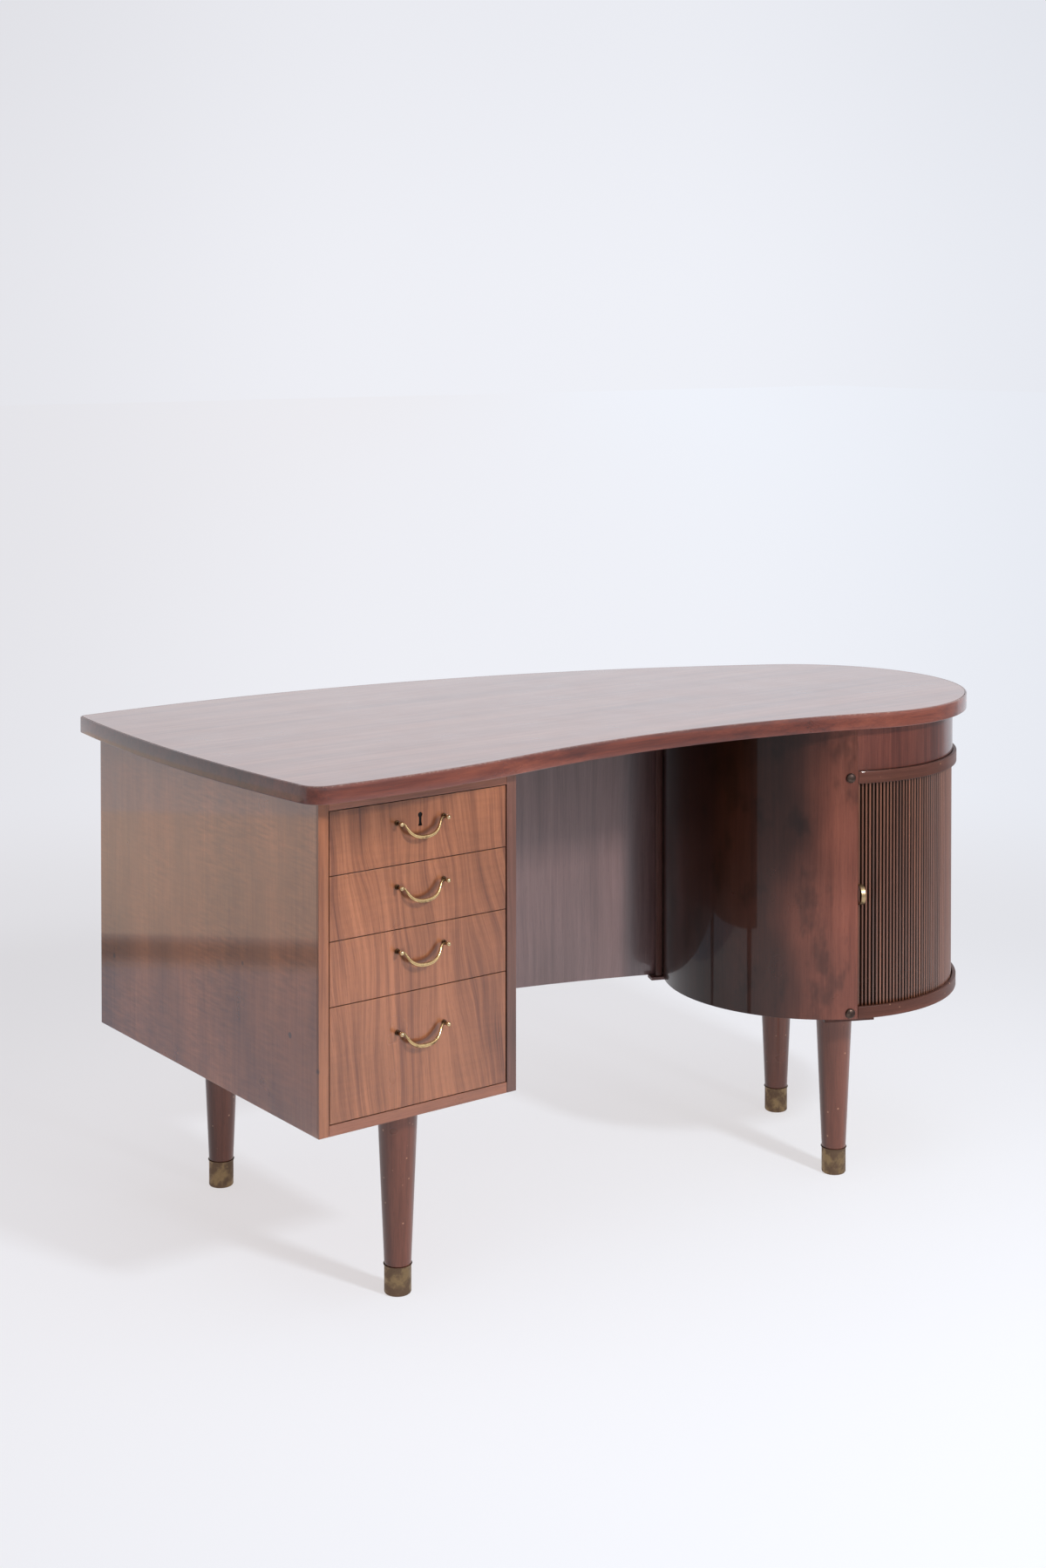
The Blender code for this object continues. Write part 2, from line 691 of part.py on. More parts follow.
def make_drawers(desk):
    """Make the four drawers, and the lock on the top one."""
    for index, (foot, head) in enumerate(drawer_levels()):
        front, slide, handle_level = make_drawer(desk, index + 1, foot, head)
        if index == 0:
            make_lock(slide, front, handle_level)


def panel_meeting(radius):
    """Find where a curve of the kneehole's panel meets the cabinet."""
    return circle_crossing(back_centre(), radius, CABINET_CENTRE, CABINET_RADIUS + 2 * GAP, 1)


def seam_angle():
    """Give the seam of the two shells, which the end of the kneehole's panel covers."""
    middle_radius = BACK_RADIUS - MODESTY_INSET + MODESTY_BOARD / 2
    return bearing(panel_meeting(middle_radius) - CABINET_CENTRE)


def make_modesty_panel(desk):
    """Make the kneehole's curved panel, which keeps the back edge's centre."""
    centre = back_centre()
    face_radius = BACK_RADIUS - MODESTY_INSET
    ends = []
    for radius in (face_radius + MODESTY_BOARD, face_radius):
        pedestal_end = math.acos((PEDESTAL_WIDTH + GAP - centre.x) / radius)
        ends.append((radius, bearing(panel_meeting(radius) - centre), pedestal_end))
    steps = arc_steps(face_radius, ends[0][2] - ends[0][1])
    back_line, face_line = [arc(centre, radius, start, end, steps) for radius, start, end in ends]
    panel = band(back_line, face_line, FLOOR_CLEARANCE, CARCASS_HEAD, closed=False)
    add_part("modesty_panel", panel, "dark_veneer", desk, smooth=True)
    make_modesty_post(desk, face_line[0], (face_line[0] - centre).normalized())


def make_modesty_post(desk, seam, outward):
    """Make the strip in the corner between panel and cabinet, with a foot under both."""
    along_panel = Vector((-outward.y, outward.x))
    away = (seam - CABINET_CENTRE).normalized()
    along_shell = Vector((-away.y, away.x))
    start = seam + along_panel * GAP + along_shell * GAP - outward * GAP + away * GAP
    corner = start + along_panel * MODESTY_POST_WIDTH
    depth = along_shell * MODESTY_POST_DEPTH
    outline = [start, corner, corner + depth, start + depth]
    foot_level = FLOOR_CLEARANCE - GAP - MODESTY_FOOT_HEIGHT
    post = add_part("modesty_post", prism(outline, foot_level, CARCASS_HEAD), "edge_wood", desk)
    middle = (outline[0] + outline[2]) / 2
    half_width = along_panel * MODESTY_FOOT_WIDTH / 2
    half_depth = outward * MODESTY_POST_DEPTH
    foot = [middle - half_width - half_depth, middle + half_width - half_depth,
            middle + half_width + half_depth, middle - half_width + half_depth]
    join(post, prism(foot, foot_level, FLOOR_CLEARANCE - GAP), desk)


def make_cabinet_walls(desk):
    """Make the two bent shells, the frieze over the opening and the rails that line it."""
    slit = GAP / CABINET_RADIUS
    seam = seam_angle()
    shells = {
        "shell_front": (seam + slit, 2 * math.pi + OPENING_START),
        "shell_back": (OPENING_END, seam - slit),
    }
    for name, (start, end) in shells.items():
        shell = bent_board(SHELL_INSIDE, CABINET_RADIUS, start, end, FLOOR_CLEARANCE, CARCASS_HEAD)
        add_part(name, shell, "dark_veneer", desk, smooth=True)
    frieze = bent_board(BOARD_RADIUS - FRIEZE_BOARD, BOARD_RADIUS, OPENING_START - FRIEZE_LAP,
                        OPENING_END + FRIEZE_LAP, CEILING_HEAD + GAP, CARCASS_HEAD)
    add_part("frieze", frieze, "dark_veneer", desk, smooth=True)
    levels = {"rail_lower": FLOOR_CLEARANCE, "rail_upper": CEILING_FOOT}
    for name, foot in levels.items():
        rail = bent_board(SHELL_INSIDE, CABINET_RADIUS, OPENING_START + slit, OPENING_END - slit,
                          foot, foot + CABINET_BOARD)
        add_part(name, rail, "edge_wood", desk, smooth=True)


def make_cabinet_boards(desk):
    """Make the round floor and ceiling with the curtain's groove, the shelf and its bent liner."""
    groove_floor = CABINET_FLOOR_TOP - GROOVE_DEPTH
    rim, step = BOARD_RADIUS, STEP_RADIUS
    foot, head = FLOOR_CLEARANCE, CABINET_FLOOR_TOP
    floor = disc_rows([(0, foot), (rim, foot), (rim, groove_floor),
                       (step, groove_floor), (step, head), (0, head)])
    add_part("cabinet_floor", floor, "plain_wood", desk)
    groove_head = CEILING_FOOT + GROOVE_DEPTH
    foot, head = CEILING_FOOT, CEILING_HEAD
    ceiling = disc_rows([(0, foot), (step, foot), (step, groove_head),
                         (rim, groove_head), (rim, head), (0, head)])
    add_part("cabinet_ceiling", ceiling, "plain_wood", desk)
    shelf_foot = CABINET_FLOOR_TOP + SHELF_LEVEL
    shelf_head = shelf_foot + SHELF_BOARD
    shelf = disc_rows([(0, shelf_foot), (step, shelf_foot), (step, shelf_head), (0, shelf_head)])
    add_part("cabinet_shelf", shelf, "plain_wood", desk)
    liner_start = OPENING_END + LINER_LAP
    liner_end = 2 * math.pi + OPENING_START - LINER_LAP
    spans = {
        "liner_lower": (CABINET_FLOOR_TOP + GAP, shelf_foot - GAP),
        "liner_upper": (shelf_head + GAP, CEILING_FOOT - GAP),
    }
    for name, (foot, head) in spans.items():
        liner = bent_board(step - LINER_BOARD, step, liner_start, liner_end, foot, head)
        add_part(name, liner, "plain_wood", desk, smooth=True)


def slat_profile():
    """Draw the curtain's plan: half-round slats in front, a smooth back."""
    pitch = SLAT_PITCH / CURTAIN_FACE
    start = OPENING_START + CURTAIN_END_PLAY
    count = math.ceil((OPENING_END + CURTAIN_LAP - start) / pitch)
    valley = CURTAIN_FACE - SLAT_RELIEF
    front = []
    for index in range(count):
        for share in SLAT_SHARES:
            radius = valley + SLAT_RELIEF * math.sqrt(1 - (2 * share - 1) ** 2)
            front.append(CABINET_CENTRE + direction(start + (index + share) * pitch) * radius)
    end = start + count * pitch
    front.append(CABINET_CENTRE + direction(end) * valley)
    back = arc(CABINET_CENTRE, CURTAIN_BACK, end, start, count)
    return front + back


def make_tambour(desk):
    """Make the slatted curtain, which turns about the cabinet's axis, and its half-ring pull."""
    axis = (CABINET_X, CABINET_Y, CABINET_FLOOR_TOP)
    foot = CABINET_FLOOR_TOP - GROOVE_DEPTH + GAP
    head = CEILING_FOOT + CURTAIN_TONGUE
    add_part("tambour_curtain", prism(slat_profile(), foot, head), "slat_wood", desk, origin=axis)
    middle_level = (CABINET_FLOOR_TOP + CEILING_FOOT) / 2
    angle = OPENING_START + CURTAIN_END_PLAY + PULL_FROM_EDGE / CURTAIN_FACE
    seat = CURTAIN_FACE + GAP
    outward = direction(angle).to_3d()
    along = Vector((-outward.y, outward.x, 0))
    flat = Vector((0, 0))
    outer = arc(flat, PULL_RADIUS, -math.pi / 2, math.pi / 2, PULL_STEPS)
    inner = arc(flat, PULL_RADIUS - PULL_STRAP, -math.pi / 2, math.pi / 2, PULL_STEPS)
    pull = band(outer, inner, -PULL_WIDTH / 2, PULL_WIDTH / 2, closed=False)
    middle = Vector((CABINET_X, CABINET_Y, middle_level)) + outward * seat
    for vert in pull.verts:
        out, up, beside = vert.co
        vert.co = middle + outward * out + Vector((0, 0, up)) + along * beside
    add_part("tambour_pull", pull, "bright_brass", desk, origin=axis, smooth=True)


def make_cover_buttons(desk):
    """Make the domed buttons over the screws that hold the rails to the front shell."""
    angle = OPENING_START - BUTTON_FROM_EDGE / CABINET_RADIUS
    outward = direction(angle).to_3d()
    seat = Vector((CABINET_X, CABINET_Y, 0)) + outward * (CABINET_RADIUS + GAP)
    dome = [(0, 0)]
    for index in range(BUTTON_STEPS):
        lift = math.pi / 2 * index / BUTTON_STEPS
        dome.append((BUTTON_RADIUS * math.cos(lift), BUTTON_HEIGHT * math.sin(lift)))
    dome.append((0, BUTTON_HEIGHT))
    levels = {"cover_button_lower": FLOOR_CLEARANCE, "cover_button_upper": CEILING_FOOT}
    for name, foot in levels.items():
        place = seat + Vector((0, 0, foot + CABINET_BOARD / 2))
        add_part(name, turned(dome, BUTTON_SIDES, place, outward), "aged_brass", desk, smooth=True)


def make_leg(desk, name, place, head):
    """Make one tapered leg, turned down at its foot to sit in a brass ferrule."""
    socket_radius = FERRULE_RADIUS - FERRULE_WALL
    spigot_radius = socket_radius - GAP
    shoulder = FERRULE_HEIGHT + GAP
    spigot_foot = FERRULE_FLOOR + GAP
    rows = [(0, spigot_foot), (spigot_radius, spigot_foot), (spigot_radius, shoulder),
            (LEG_FOOT_RADIUS, shoulder), (LEG_TOP_RADIUS, head), (0, head)]
    spot = (place.x, place.y, 0)
    leg = turned(rows, LEG_SIDES, spot, (0, 0, 1))
    add_part(f"leg_{name}", leg, "leg_wood", desk, smooth=True)
    rows = [(0, 0)]
    for index in range(FERRULE_EDGE_STEPS + 1):
        angle = math.pi / 2 * index / FERRULE_EDGE_STEPS
        radius = FERRULE_RADIUS - FERRULE_EDGE * (1 - math.sin(angle))
        rows.append((radius, FERRULE_EDGE * (1 - math.cos(angle))))
    rows += [(FERRULE_RADIUS, FERRULE_HEIGHT - COLLAR_HEIGHT),
             (COLLAR_RADIUS, FERRULE_HEIGHT - COLLAR_HEIGHT / 2),
             (COLLAR_RADIUS, FERRULE_HEIGHT), (socket_radius, FERRULE_HEIGHT),
             (socket_radius, FERRULE_FLOOR), (0, FERRULE_FLOOR)]
    ferrule = turned(rows, LEG_SIDES, spot, (0, 0, 1))
    add_part(f"ferrule_{name}", ferrule, "aged_brass", desk, smooth=True)


def make_legs(desk):
    """Make two legs under the pedestal and two on a batten under the cabinet."""
    head = FLOOR_CLEARANCE - GAP
    leg_x = PEDESTAL_WIDTH / 2 + PEDESTAL_LEG_SHIFT
    make_leg(desk, "pedestal_front", Vector((leg_x, LEG_INSET)), head)
    make_leg(desk, "pedestal_back", Vector((leg_x, PEDESTAL_DEPTH - LEG_INSET)), head)
    along = direction(CABINET_LEG_ANGLE)
    across = Vector((-along.y, along.x))
    middle = CABINET_CENTRE + Vector((CABINET_LEG_SHIFT, 0))
    half_length = along * (CABINET_RADIUS - LEG_RAIL_INSET)
    half_width = across * LEG_RAIL_WIDTH / 2
    outline = [middle - half_length + half_width, middle - half_length - half_width,
               middle + half_length - half_width, middle + half_length + half_width]
    rail_foot = head - LEG_RAIL_THICKNESS
    add_part("leg_rail", prism(outline, rail_foot, head), "edge_wood", desk)
    leg_reach = along * (CABINET_RADIUS - CABINET_LEG_INSET)
    make_leg(desk, "cabinet_front", middle - leg_reach, rail_foot - GAP)
    make_leg(desk, "cabinet_back", middle + leg_reach, rail_foot - GAP)


def desk_mount():
    """Add the empty that sets the desk's own origin, under the middle of its top's box."""
    outline = top_outline(0)
    xs = [point.x for point in outline]
    ys = [point.y for point in outline]
    middle = Vector(((min(xs) + max(xs)) / 2, (min(ys) + max(ys)) / 2, 0))
    mount = add_empty("desk_origin", -middle)
    return Mount(mount.empty, Vector((0, 0, 0)))


def main():
    """Build the whole desk."""
    clear_scene()
    desk = desk_mount()
    make_top(desk)
    make_pedestal(desk)
    make_runner_frames(desk)
    make_drawers(desk)
    make_modesty_panel(desk)
    make_cabinet_walls(desk)
    make_cabinet_boards(desk)
    make_tambour(desk)
    make_cover_buttons(desk)
    make_legs(desk)


main()
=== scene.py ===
# %% [markdown]
# # A kidney-shaped desk, dressed for its portrait
#
# The desk's solids are already built and packed. This lesson loads them as a fixed
# frame, and then does what a photographer and a french polisher do: it sets up the studio,
# gives every board its own figured veneer, and remodels the pieces that the eye rests on, such
# as the handles, the tambour and the brass feet, with rounder curves and softer edges.
#
# The frame comes first, because each piece is placed by asking the frame where its solid is.

# %% Load the frame
import math

import bpy
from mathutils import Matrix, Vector


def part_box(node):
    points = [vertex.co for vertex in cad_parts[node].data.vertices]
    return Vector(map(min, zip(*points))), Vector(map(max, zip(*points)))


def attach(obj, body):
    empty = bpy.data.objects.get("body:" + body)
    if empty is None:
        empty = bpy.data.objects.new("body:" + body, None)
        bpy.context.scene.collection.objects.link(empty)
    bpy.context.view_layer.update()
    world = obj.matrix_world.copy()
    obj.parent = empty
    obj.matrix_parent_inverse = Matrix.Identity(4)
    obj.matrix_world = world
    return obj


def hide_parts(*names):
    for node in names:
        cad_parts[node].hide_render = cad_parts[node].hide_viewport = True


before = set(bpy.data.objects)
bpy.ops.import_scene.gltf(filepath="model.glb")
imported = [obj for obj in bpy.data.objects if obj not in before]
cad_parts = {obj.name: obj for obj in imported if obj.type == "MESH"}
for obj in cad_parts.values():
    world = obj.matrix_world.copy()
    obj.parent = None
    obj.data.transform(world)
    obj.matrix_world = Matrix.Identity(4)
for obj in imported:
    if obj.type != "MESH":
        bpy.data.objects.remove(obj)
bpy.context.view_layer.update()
scene = bpy.context.scene
scene.view_settings.view_transform = "Standard"

# %% [markdown]
# ## The camera
#
# The photograph was taken with a level camera a little above the desk, and the frame was cut so
# that the horizon lies high in it. A tilted camera would make the legs lean; a shifted lens
# keeps them upright. So the lens looks almost level, and its frame is shifted down.

# %% Camera
PHOTO_HEIGHT = 1799
FOCAL_LENGTH_PIXELS = 2638.7
AXIS_ROW = 420.8
SENSOR = 36.0
CAMERA_PLACE = (-2.193457, -2.825729, 1.3424)
CAMERA_TURN = (math.radians(88.78), 0.0, math.radians(-36.82))

bpy.ops.object.select_all(action="DESELECT")
bpy.ops.object.camera_add(location=CAMERA_PLACE, rotation=CAMERA_TURN)
camera = bpy.context.active_object
camera.name = "camera"
camera.data.sensor_width = SENSOR
camera.data.lens = SENSOR * FOCAL_LENGTH_PIXELS / PHOTO_HEIGHT
camera.data.shift_y = (AXIS_ROW - PHOTO_HEIGHT / 2) / PHOTO_HEIGHT
scene.camera = camera
print("lens:", round(camera.data.lens, 1), "mm")

# %% [markdown]
# ## Node maths in Python
#
# A finish is a small sum: grain plus pores, times a ripple. Wiring each sum by hand hides it
# among the sockets. This class wraps one socket, so that a plus sign adds a Math node. Every
# other node comes from one method, which takes the node's type, its settings and its sockets.

# %% Sockets that add up
class Value:
    """One node socket; each sign that is used on it adds a Math node."""

    def __init__(self, graph, socket):
        self.graph = graph
        self.socket = socket

    def __add__(self, other):
        return self.graph.math("ADD", self, other)

    def __sub__(self, other):
        return self.graph.math("SUBTRACT", self, other)

    def __rsub__(self, other):
        return self.graph.math("SUBTRACT", other, self)

    def __mul__(self, other):
        return self.graph.math("MULTIPLY", self, other)

    __radd__ = __add__
    __rmul__ = __mul__


class Graph:
    """A node tree that is being written as expressions."""

    def __init__(self, tree):
        self.tree = tree

    def add(self, kind, settings=(), sockets=(), output=0):
        """Add a node: first its settings, then its sockets' values or links."""
        node = self.tree.nodes.new(kind)
        for key, value in dict(settings).items():
            if key == "stops":
                self.fill_ramp(node.color_ramp, value)
            else:
                setattr(node, key, value)
        self.feed(node, sockets)
        return Value(self, node.outputs[output])

    def feed(self, node, sockets):
        """Set or link a node's sockets."""
        for key, value in dict(sockets).items():
            if isinstance(value, Value):
                self.tree.links.new(value.socket, node.inputs[key])
            else:
                node.inputs[key].default_value = value

    def fill_ramp(self, ramp, stops):
        """Give a colour ramp its stops, each a place and a colour."""
        while len(ramp.elements) < len(stops):
            ramp.elements.new(1.0)
        for element, (place, colour) in zip(ramp.elements, stops):
            element.position = place
            element.color = (*colour, 1.0)

    def math(self, operation, a, b=0.0):
        """Add one Math node."""
        return self.add("ShaderNodeMath", {"operation": operation}, {0: a, 1: b})

    def vector(self, x, y, z):
        """Join three values to a vector."""
        return self.add("ShaderNodeCombineXYZ", (), {0: x, 1: y, 2: z})

    def parts(self, vector):
        """Split a vector into its three values."""
        split = self.add("ShaderNodeSeparateXYZ", (), {0: vector})
        node = split.socket.node
        return [Value(self, output) for output in node.outputs]

    def noise(self, vector, scale, detail=2.0, roughness=0.5):
        """Add a noise from 0 to 1 that lies mostly near a half."""
        sockets = {"Vector": vector, "Scale": scale, "Detail": detail, "Roughness": roughness}
        return self.add("ShaderNodeTexNoise", (), sockets)

    def fade(self, value, low, high):
        """Rise smoothly from 0 at low to 1 at high."""
        sockets = {"Value": value, "From Min": low, "From Max": high}
        return self.add("ShaderNodeMapRange", {"interpolation_type": "SMOOTHSTEP"}, sockets)

    def mix(self, share, a, b):
        """Mix two colours."""
        settings = {"data_type": "RGBA"}
        return self.add("ShaderNodeMix", settings, {0: share, 6: a, 7: b}, output=2)

    def shade(self, colour, amount):
        """Make a colour lighter or darker."""
        settings = {"operation": "SCALE"}
        return self.add("ShaderNodeVectorMath", settings, {0: colour, "Scale": amount})


def start_finish(name, constants=()):
    """Start a material: its node graph and its shader, with the sockets that stay constant."""
    material = bpy.data.materials.new(name)
    material.use_nodes = True
    graph = Graph(material.node_tree)
    shader = material.node_tree.nodes["Principled BSDF"]
    graph.feed(shader, constants)
    return material, graph, shader


# %% [markdown]
# ## The studio
#
# The desk stands in a white, seamless room. A real one is lit until its walls nearly burn out;
# here the walls and the floor are simply pale to the camera and to reflections, and the lamps
# stay at a plain level. The floor mixes some true shading in, so that the legs still throw their
# faint shadows, and light is painted into its middle, where the desk keeps the light off. Shade is
# painted on the walls and the far floor towards the left and right of the view. Reflections alone
# see the floor farther out in front painted dimmer; that is what keeps the drawers' colour deep.

# %% Floor and backdrop
PALE_LEFT = (0.850, 0.846, 0.886, 1.0)
PALE_RIGHT = (0.872, 0.900, 0.968, 1.0)
WALL_SHADE = 0.955
FLOOR_SIZE = 60.0
FLOOR_TINT = (1.065, 1.0, 0.94, 1.0)
LIT_FLOOR = (0.75, 0.85, 0.96, 1.0)
CAMERA_DISTANCE = 3.58
VIEW_X = 0.6
VIEW_Y = 0.8
SHADOW_SHARE = 0.38
MIDDLE_PAINTED_LIGHT = 0.10
EDGE_SHADE = 0.08
ROOM_LIGHT = 0.48
DIM_FLOOR = 0.55


def seen_directly(graph):
    """Give 1 to the camera, to reflections and through glass, and 0 to all other rays."""
    rays = graph.add("ShaderNodeLightPath").socket.node.outputs
    glossy = Value(graph, rays["Is Glossy Ray"])
    through = Value(graph, rays["Is Transmission Ray"])
    direct = graph.math("MAXIMUM", Value(graph, rays["Is Camera Ray"]), glossy)
    return graph.math("MAXIMUM", direct, through)


def across_picture(x, y):
    """Measure how far a place lies to the right of the picture's middle."""
    return x * VIEW_Y - y * VIEW_X


def into_picture(x, y):
    """Measure how far a place lies beyond the desk, along the camera's view."""
    return x * VIEW_X + y * VIEW_Y


def pale_by_side(graph, x, y, width):
    """Turn from a warm white on the left of the desk to a cool white on its right."""
    side = graph.fade(across_picture(x, y), -width, width)
    return graph.mix(side, PALE_LEFT, PALE_RIGHT)


def towards_edges(graph, x, y, stand_back, near, far):
    """Rise from 0 in the middle of the picture to 1 at its left and right edges."""
    sideways = across_picture(x, y)
    forwards = into_picture(x, y) + stand_back
    slope = graph.math("ABSOLUTE", graph.math("DIVIDE", sideways, forwards))
    return graph.fade(slope, 0.06, 0.26) * graph.fade(forwards, near, far)


world = bpy.data.worlds.new("studio")
scene.world = world
world.use_nodes = True
graph = Graph(world.node_tree)
room = world.node_tree.nodes["Background"]
direct = seen_directly(graph)
x, y, z = graph.parts(graph.add("ShaderNodeTexCoord", output="Generated"))
pale = pale_by_side(graph, x, y, 0.5)
pale = graph.shade(pale, 1.0 - (1.0 - WALL_SHADE) * graph.fade(z, 0.0, 0.16))
# Painted shade on the walls towards the left and right of the view.
pale = graph.shade(pale, 1.0 - EDGE_SHADE * towards_edges(graph, x, y, 0.0, 0.3, 0.7))
graph.feed(room, {"Color": pale, "Strength": direct * (1.0 - ROOM_LIGHT) + ROOM_LIGHT})

bpy.ops.mesh.primitive_plane_add(size=FLOOR_SIZE, location=(0, 0, 0))
floor = bpy.context.active_object
floor.name = "floor"
material, graph = start_finish("pale_floor")[:2]
direct = seen_directly(graph)
x, y, z = graph.parts(graph.add("ShaderNodeTexCoord", output="Object"))
reach = graph.math("SQRT", x * x + y * y)
near = graph.fade(reach, 3.2, 1.0)
settings = {"data_type": "RGBA", "blend_type": "MULTIPLY"}
sockets = {0: near, 6: pale_by_side(graph, x, y, 3.0), 7: FLOOR_TINT}
pale = graph.add("ShaderNodeMix", settings, sockets, output=2)
# Painted shade on the far floor towards the left and right of the view.
pale = graph.shade(pale, 1.0 - EDGE_SHADE * towards_edges(graph, x, y, CAMERA_DISTANCE, 3.0, 5.5))
# Painted light in the floor's middle, where the desk keeps the light off.
pale = graph.shade(pale, 1.0 + MIDDLE_PAINTED_LIGHT * graph.fade(reach, 1.8, 0.7))
lit = graph.add("ShaderNodeBsdfDiffuse", (), {"Color": LIT_FLOOR})
far_front = graph.fade(reach, 1.2, 2.4) * graph.fade(y, 0.3, -0.5)
mirrored = Value(graph, graph.add("ShaderNodeLightPath").socket.node.outputs["Is Glossy Ray"])
# Painted darkening of the floor farther out in front, seen only in reflections.
strength = 1.0 - mirrored * far_front * DIM_FLOOR
glow = graph.add("ShaderNodeEmission", (), {"Color": pale, "Strength": strength})
share = direct * (1.0 - SHADOW_SHARE * near)
both = graph.add("ShaderNodeMixShader", (), {0: share, 1: lit, 2: glow})
graph.feed(material.node_tree.nodes["Material Output"], {"Surface": both})
floor.data.materials.append(material)
print("floor:", FLOOR_SIZE, "m wide")

# %% [markdown]
# Polish is a mirror, so what stands beside the desk matters. A soft dark line crosses the side of
# the desk, as if the paper on the floor came to an end to the left of the frame, with a grey floor
# on one side of its edge and a warm one on the other. Five strips that only reflections see stand
# in for that; three of them lie on each other to soften the line.

# %% The paper's edge
STRIPS = {
    "paper_edge": ((-1.41, 1.42, 0.006), (3.2, 0.10, 1.0), (0.015, 0.012, 0.011, 1.0)),
    "edge_shade": ((-1.41, 1.42, 0.005), (3.2, 0.17, 1.0), (0.16, 0.14, 0.14, 1.0)),
    "edge_border": ((-1.41, 1.42, 0.004), (3.2, 0.25, 1.0), (0.38, 0.35, 0.36, 1.0)),
    "grey_floor": ((-1.058, 1.043, 0.003), (3.2, 1.04, 1.0), (0.42, 0.45, 0.54, 1.0)),
    "warm_floor": ((-1.887, 1.932, 0.003), (3.2, 1.28, 1.0), (0.96, 0.78, 0.66, 1.0)),
}
STRIP_TURN = math.radians(43)

for name, (place, size, tone) in STRIPS.items():
    bpy.ops.mesh.primitive_plane_add(size=1.0, location=place, rotation=(0, 0, STRIP_TURN))
    strip = bpy.context.active_object
    strip.name = name
    strip.scale = size
    strip.visible_camera = False
    strip.visible_diffuse = False
    strip.visible_shadow = False
    material, graph = start_finish(name)[:2]
    shade = graph.add("ShaderNodeEmission", (), {"Color": tone})
    graph.feed(material.node_tree.nodes["Material Output"], {"Surface": shade})
    strip.data.materials.append(material)
    print(name, size[0], "m long")

# %% [markdown]
# The legs' shadows run straight back, so the strongest lamp stood high in front of the desk, to
# the right of the camera. The handles' shadows lie level behind them, so a second lamp stood low.
# A weak, wide one overhead opens up the shade. Only the first is seen in the polish.

# %% Lamps
LAMPS = {
    "window_lamp": ((0.3, -3.1, 2.4), (0.0, 0.0, 0.45), 0.35, 86.0),
    "front_lamp": ((0.45, -4.2, 0.6), (0.0, 0.0, 0.45), 0.6, 69.0),
    "sky_lamp": ((-0.6, -0.8, 4.2), (0.0, 0.0, 0.7), 3.0, 31.0),
}

for name, (place, aim, size, power) in LAMPS.items():
    turn = (Vector(aim) - Vector(place)).to_track_quat("-Z", "Y").to_euler()
    bpy.ops.object.light_add(type="AREA", location=place, rotation=turn)
    lamp = bpy.context.active_object
    lamp.name = name
    lamp.data.size = size
    lamp.data.energy = power
    lamp.visible_camera = False
    lamp.visible_glossy = name == "window_lamp"
    print(name, power, "W")

# %% [markdown]
# ## Wood
#
# All the wood on this desk is one idea with different numbers. Veneer is sliced along the tree,
# so everything in it is drawn out along the grain: broad bands of colour, streaks, fibres and
# short dark pores. Each is a noise whose coordinates are squeezed along the grain, so each needs
# three numbers: how often it repeats, how much it is squeezed, and its detail. A slow noise
# pushes them all sideways, which makes the lines flow round old knots, and a ripple across the
# grain gives the silky bars of a figured log. Coordinates are the object's own, in metres.

# %% Grain
CABINET_AXIS = (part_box("cabinet_shelf")[0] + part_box("cabinet_shelf")[1]) / 2
CABINET_RADIUS = 0.237
GRAIN_ORDER = {"x": (0, 1, 2), "y": (1, 0, 2), "z": (2, 0, 1)}
BANDS = (22.0, 0.07, 2.0)
LINES = (120.0, 0.03, 3.0)
FIBRES = (620.0, 0.02, 2.0)
PORES = (1150.0, 0.05, 1.0)
BAND_SHARE = 0.42
LINE_SHARE = 0.38
FIBRE_SHARE = 0.20
PORE_STRENGTH = 0.4
TONE_STOPS = (0.36, 0.47, 0.55, 0.66)
POLISH_ROUGHNESS = 0.045
GRAIN_RELIEF = 0.08
RELIEF_DEPTH = 0.0003


def grain_parts(graph, grain):
    """Give the place along the grain, across it and in depth; round follows the cabinet."""
    place = graph.add("ShaderNodeTexCoord", output="Object")
    if grain != "round":
        values = graph.parts(place)
        return [values[index] for index in GRAIN_ORDER[grain]]
    settings = {"operation": "SUBTRACT"}
    x, y, z = graph.parts(graph.add("ShaderNodeVectorMath", settings, {0: place, 1: CABINET_AXIS}))
    reach = graph.math("SQRT", x * x + y * y)
    return [graph.math("ARCTAN2", y, x) * CABINET_RADIUS, z, reach]


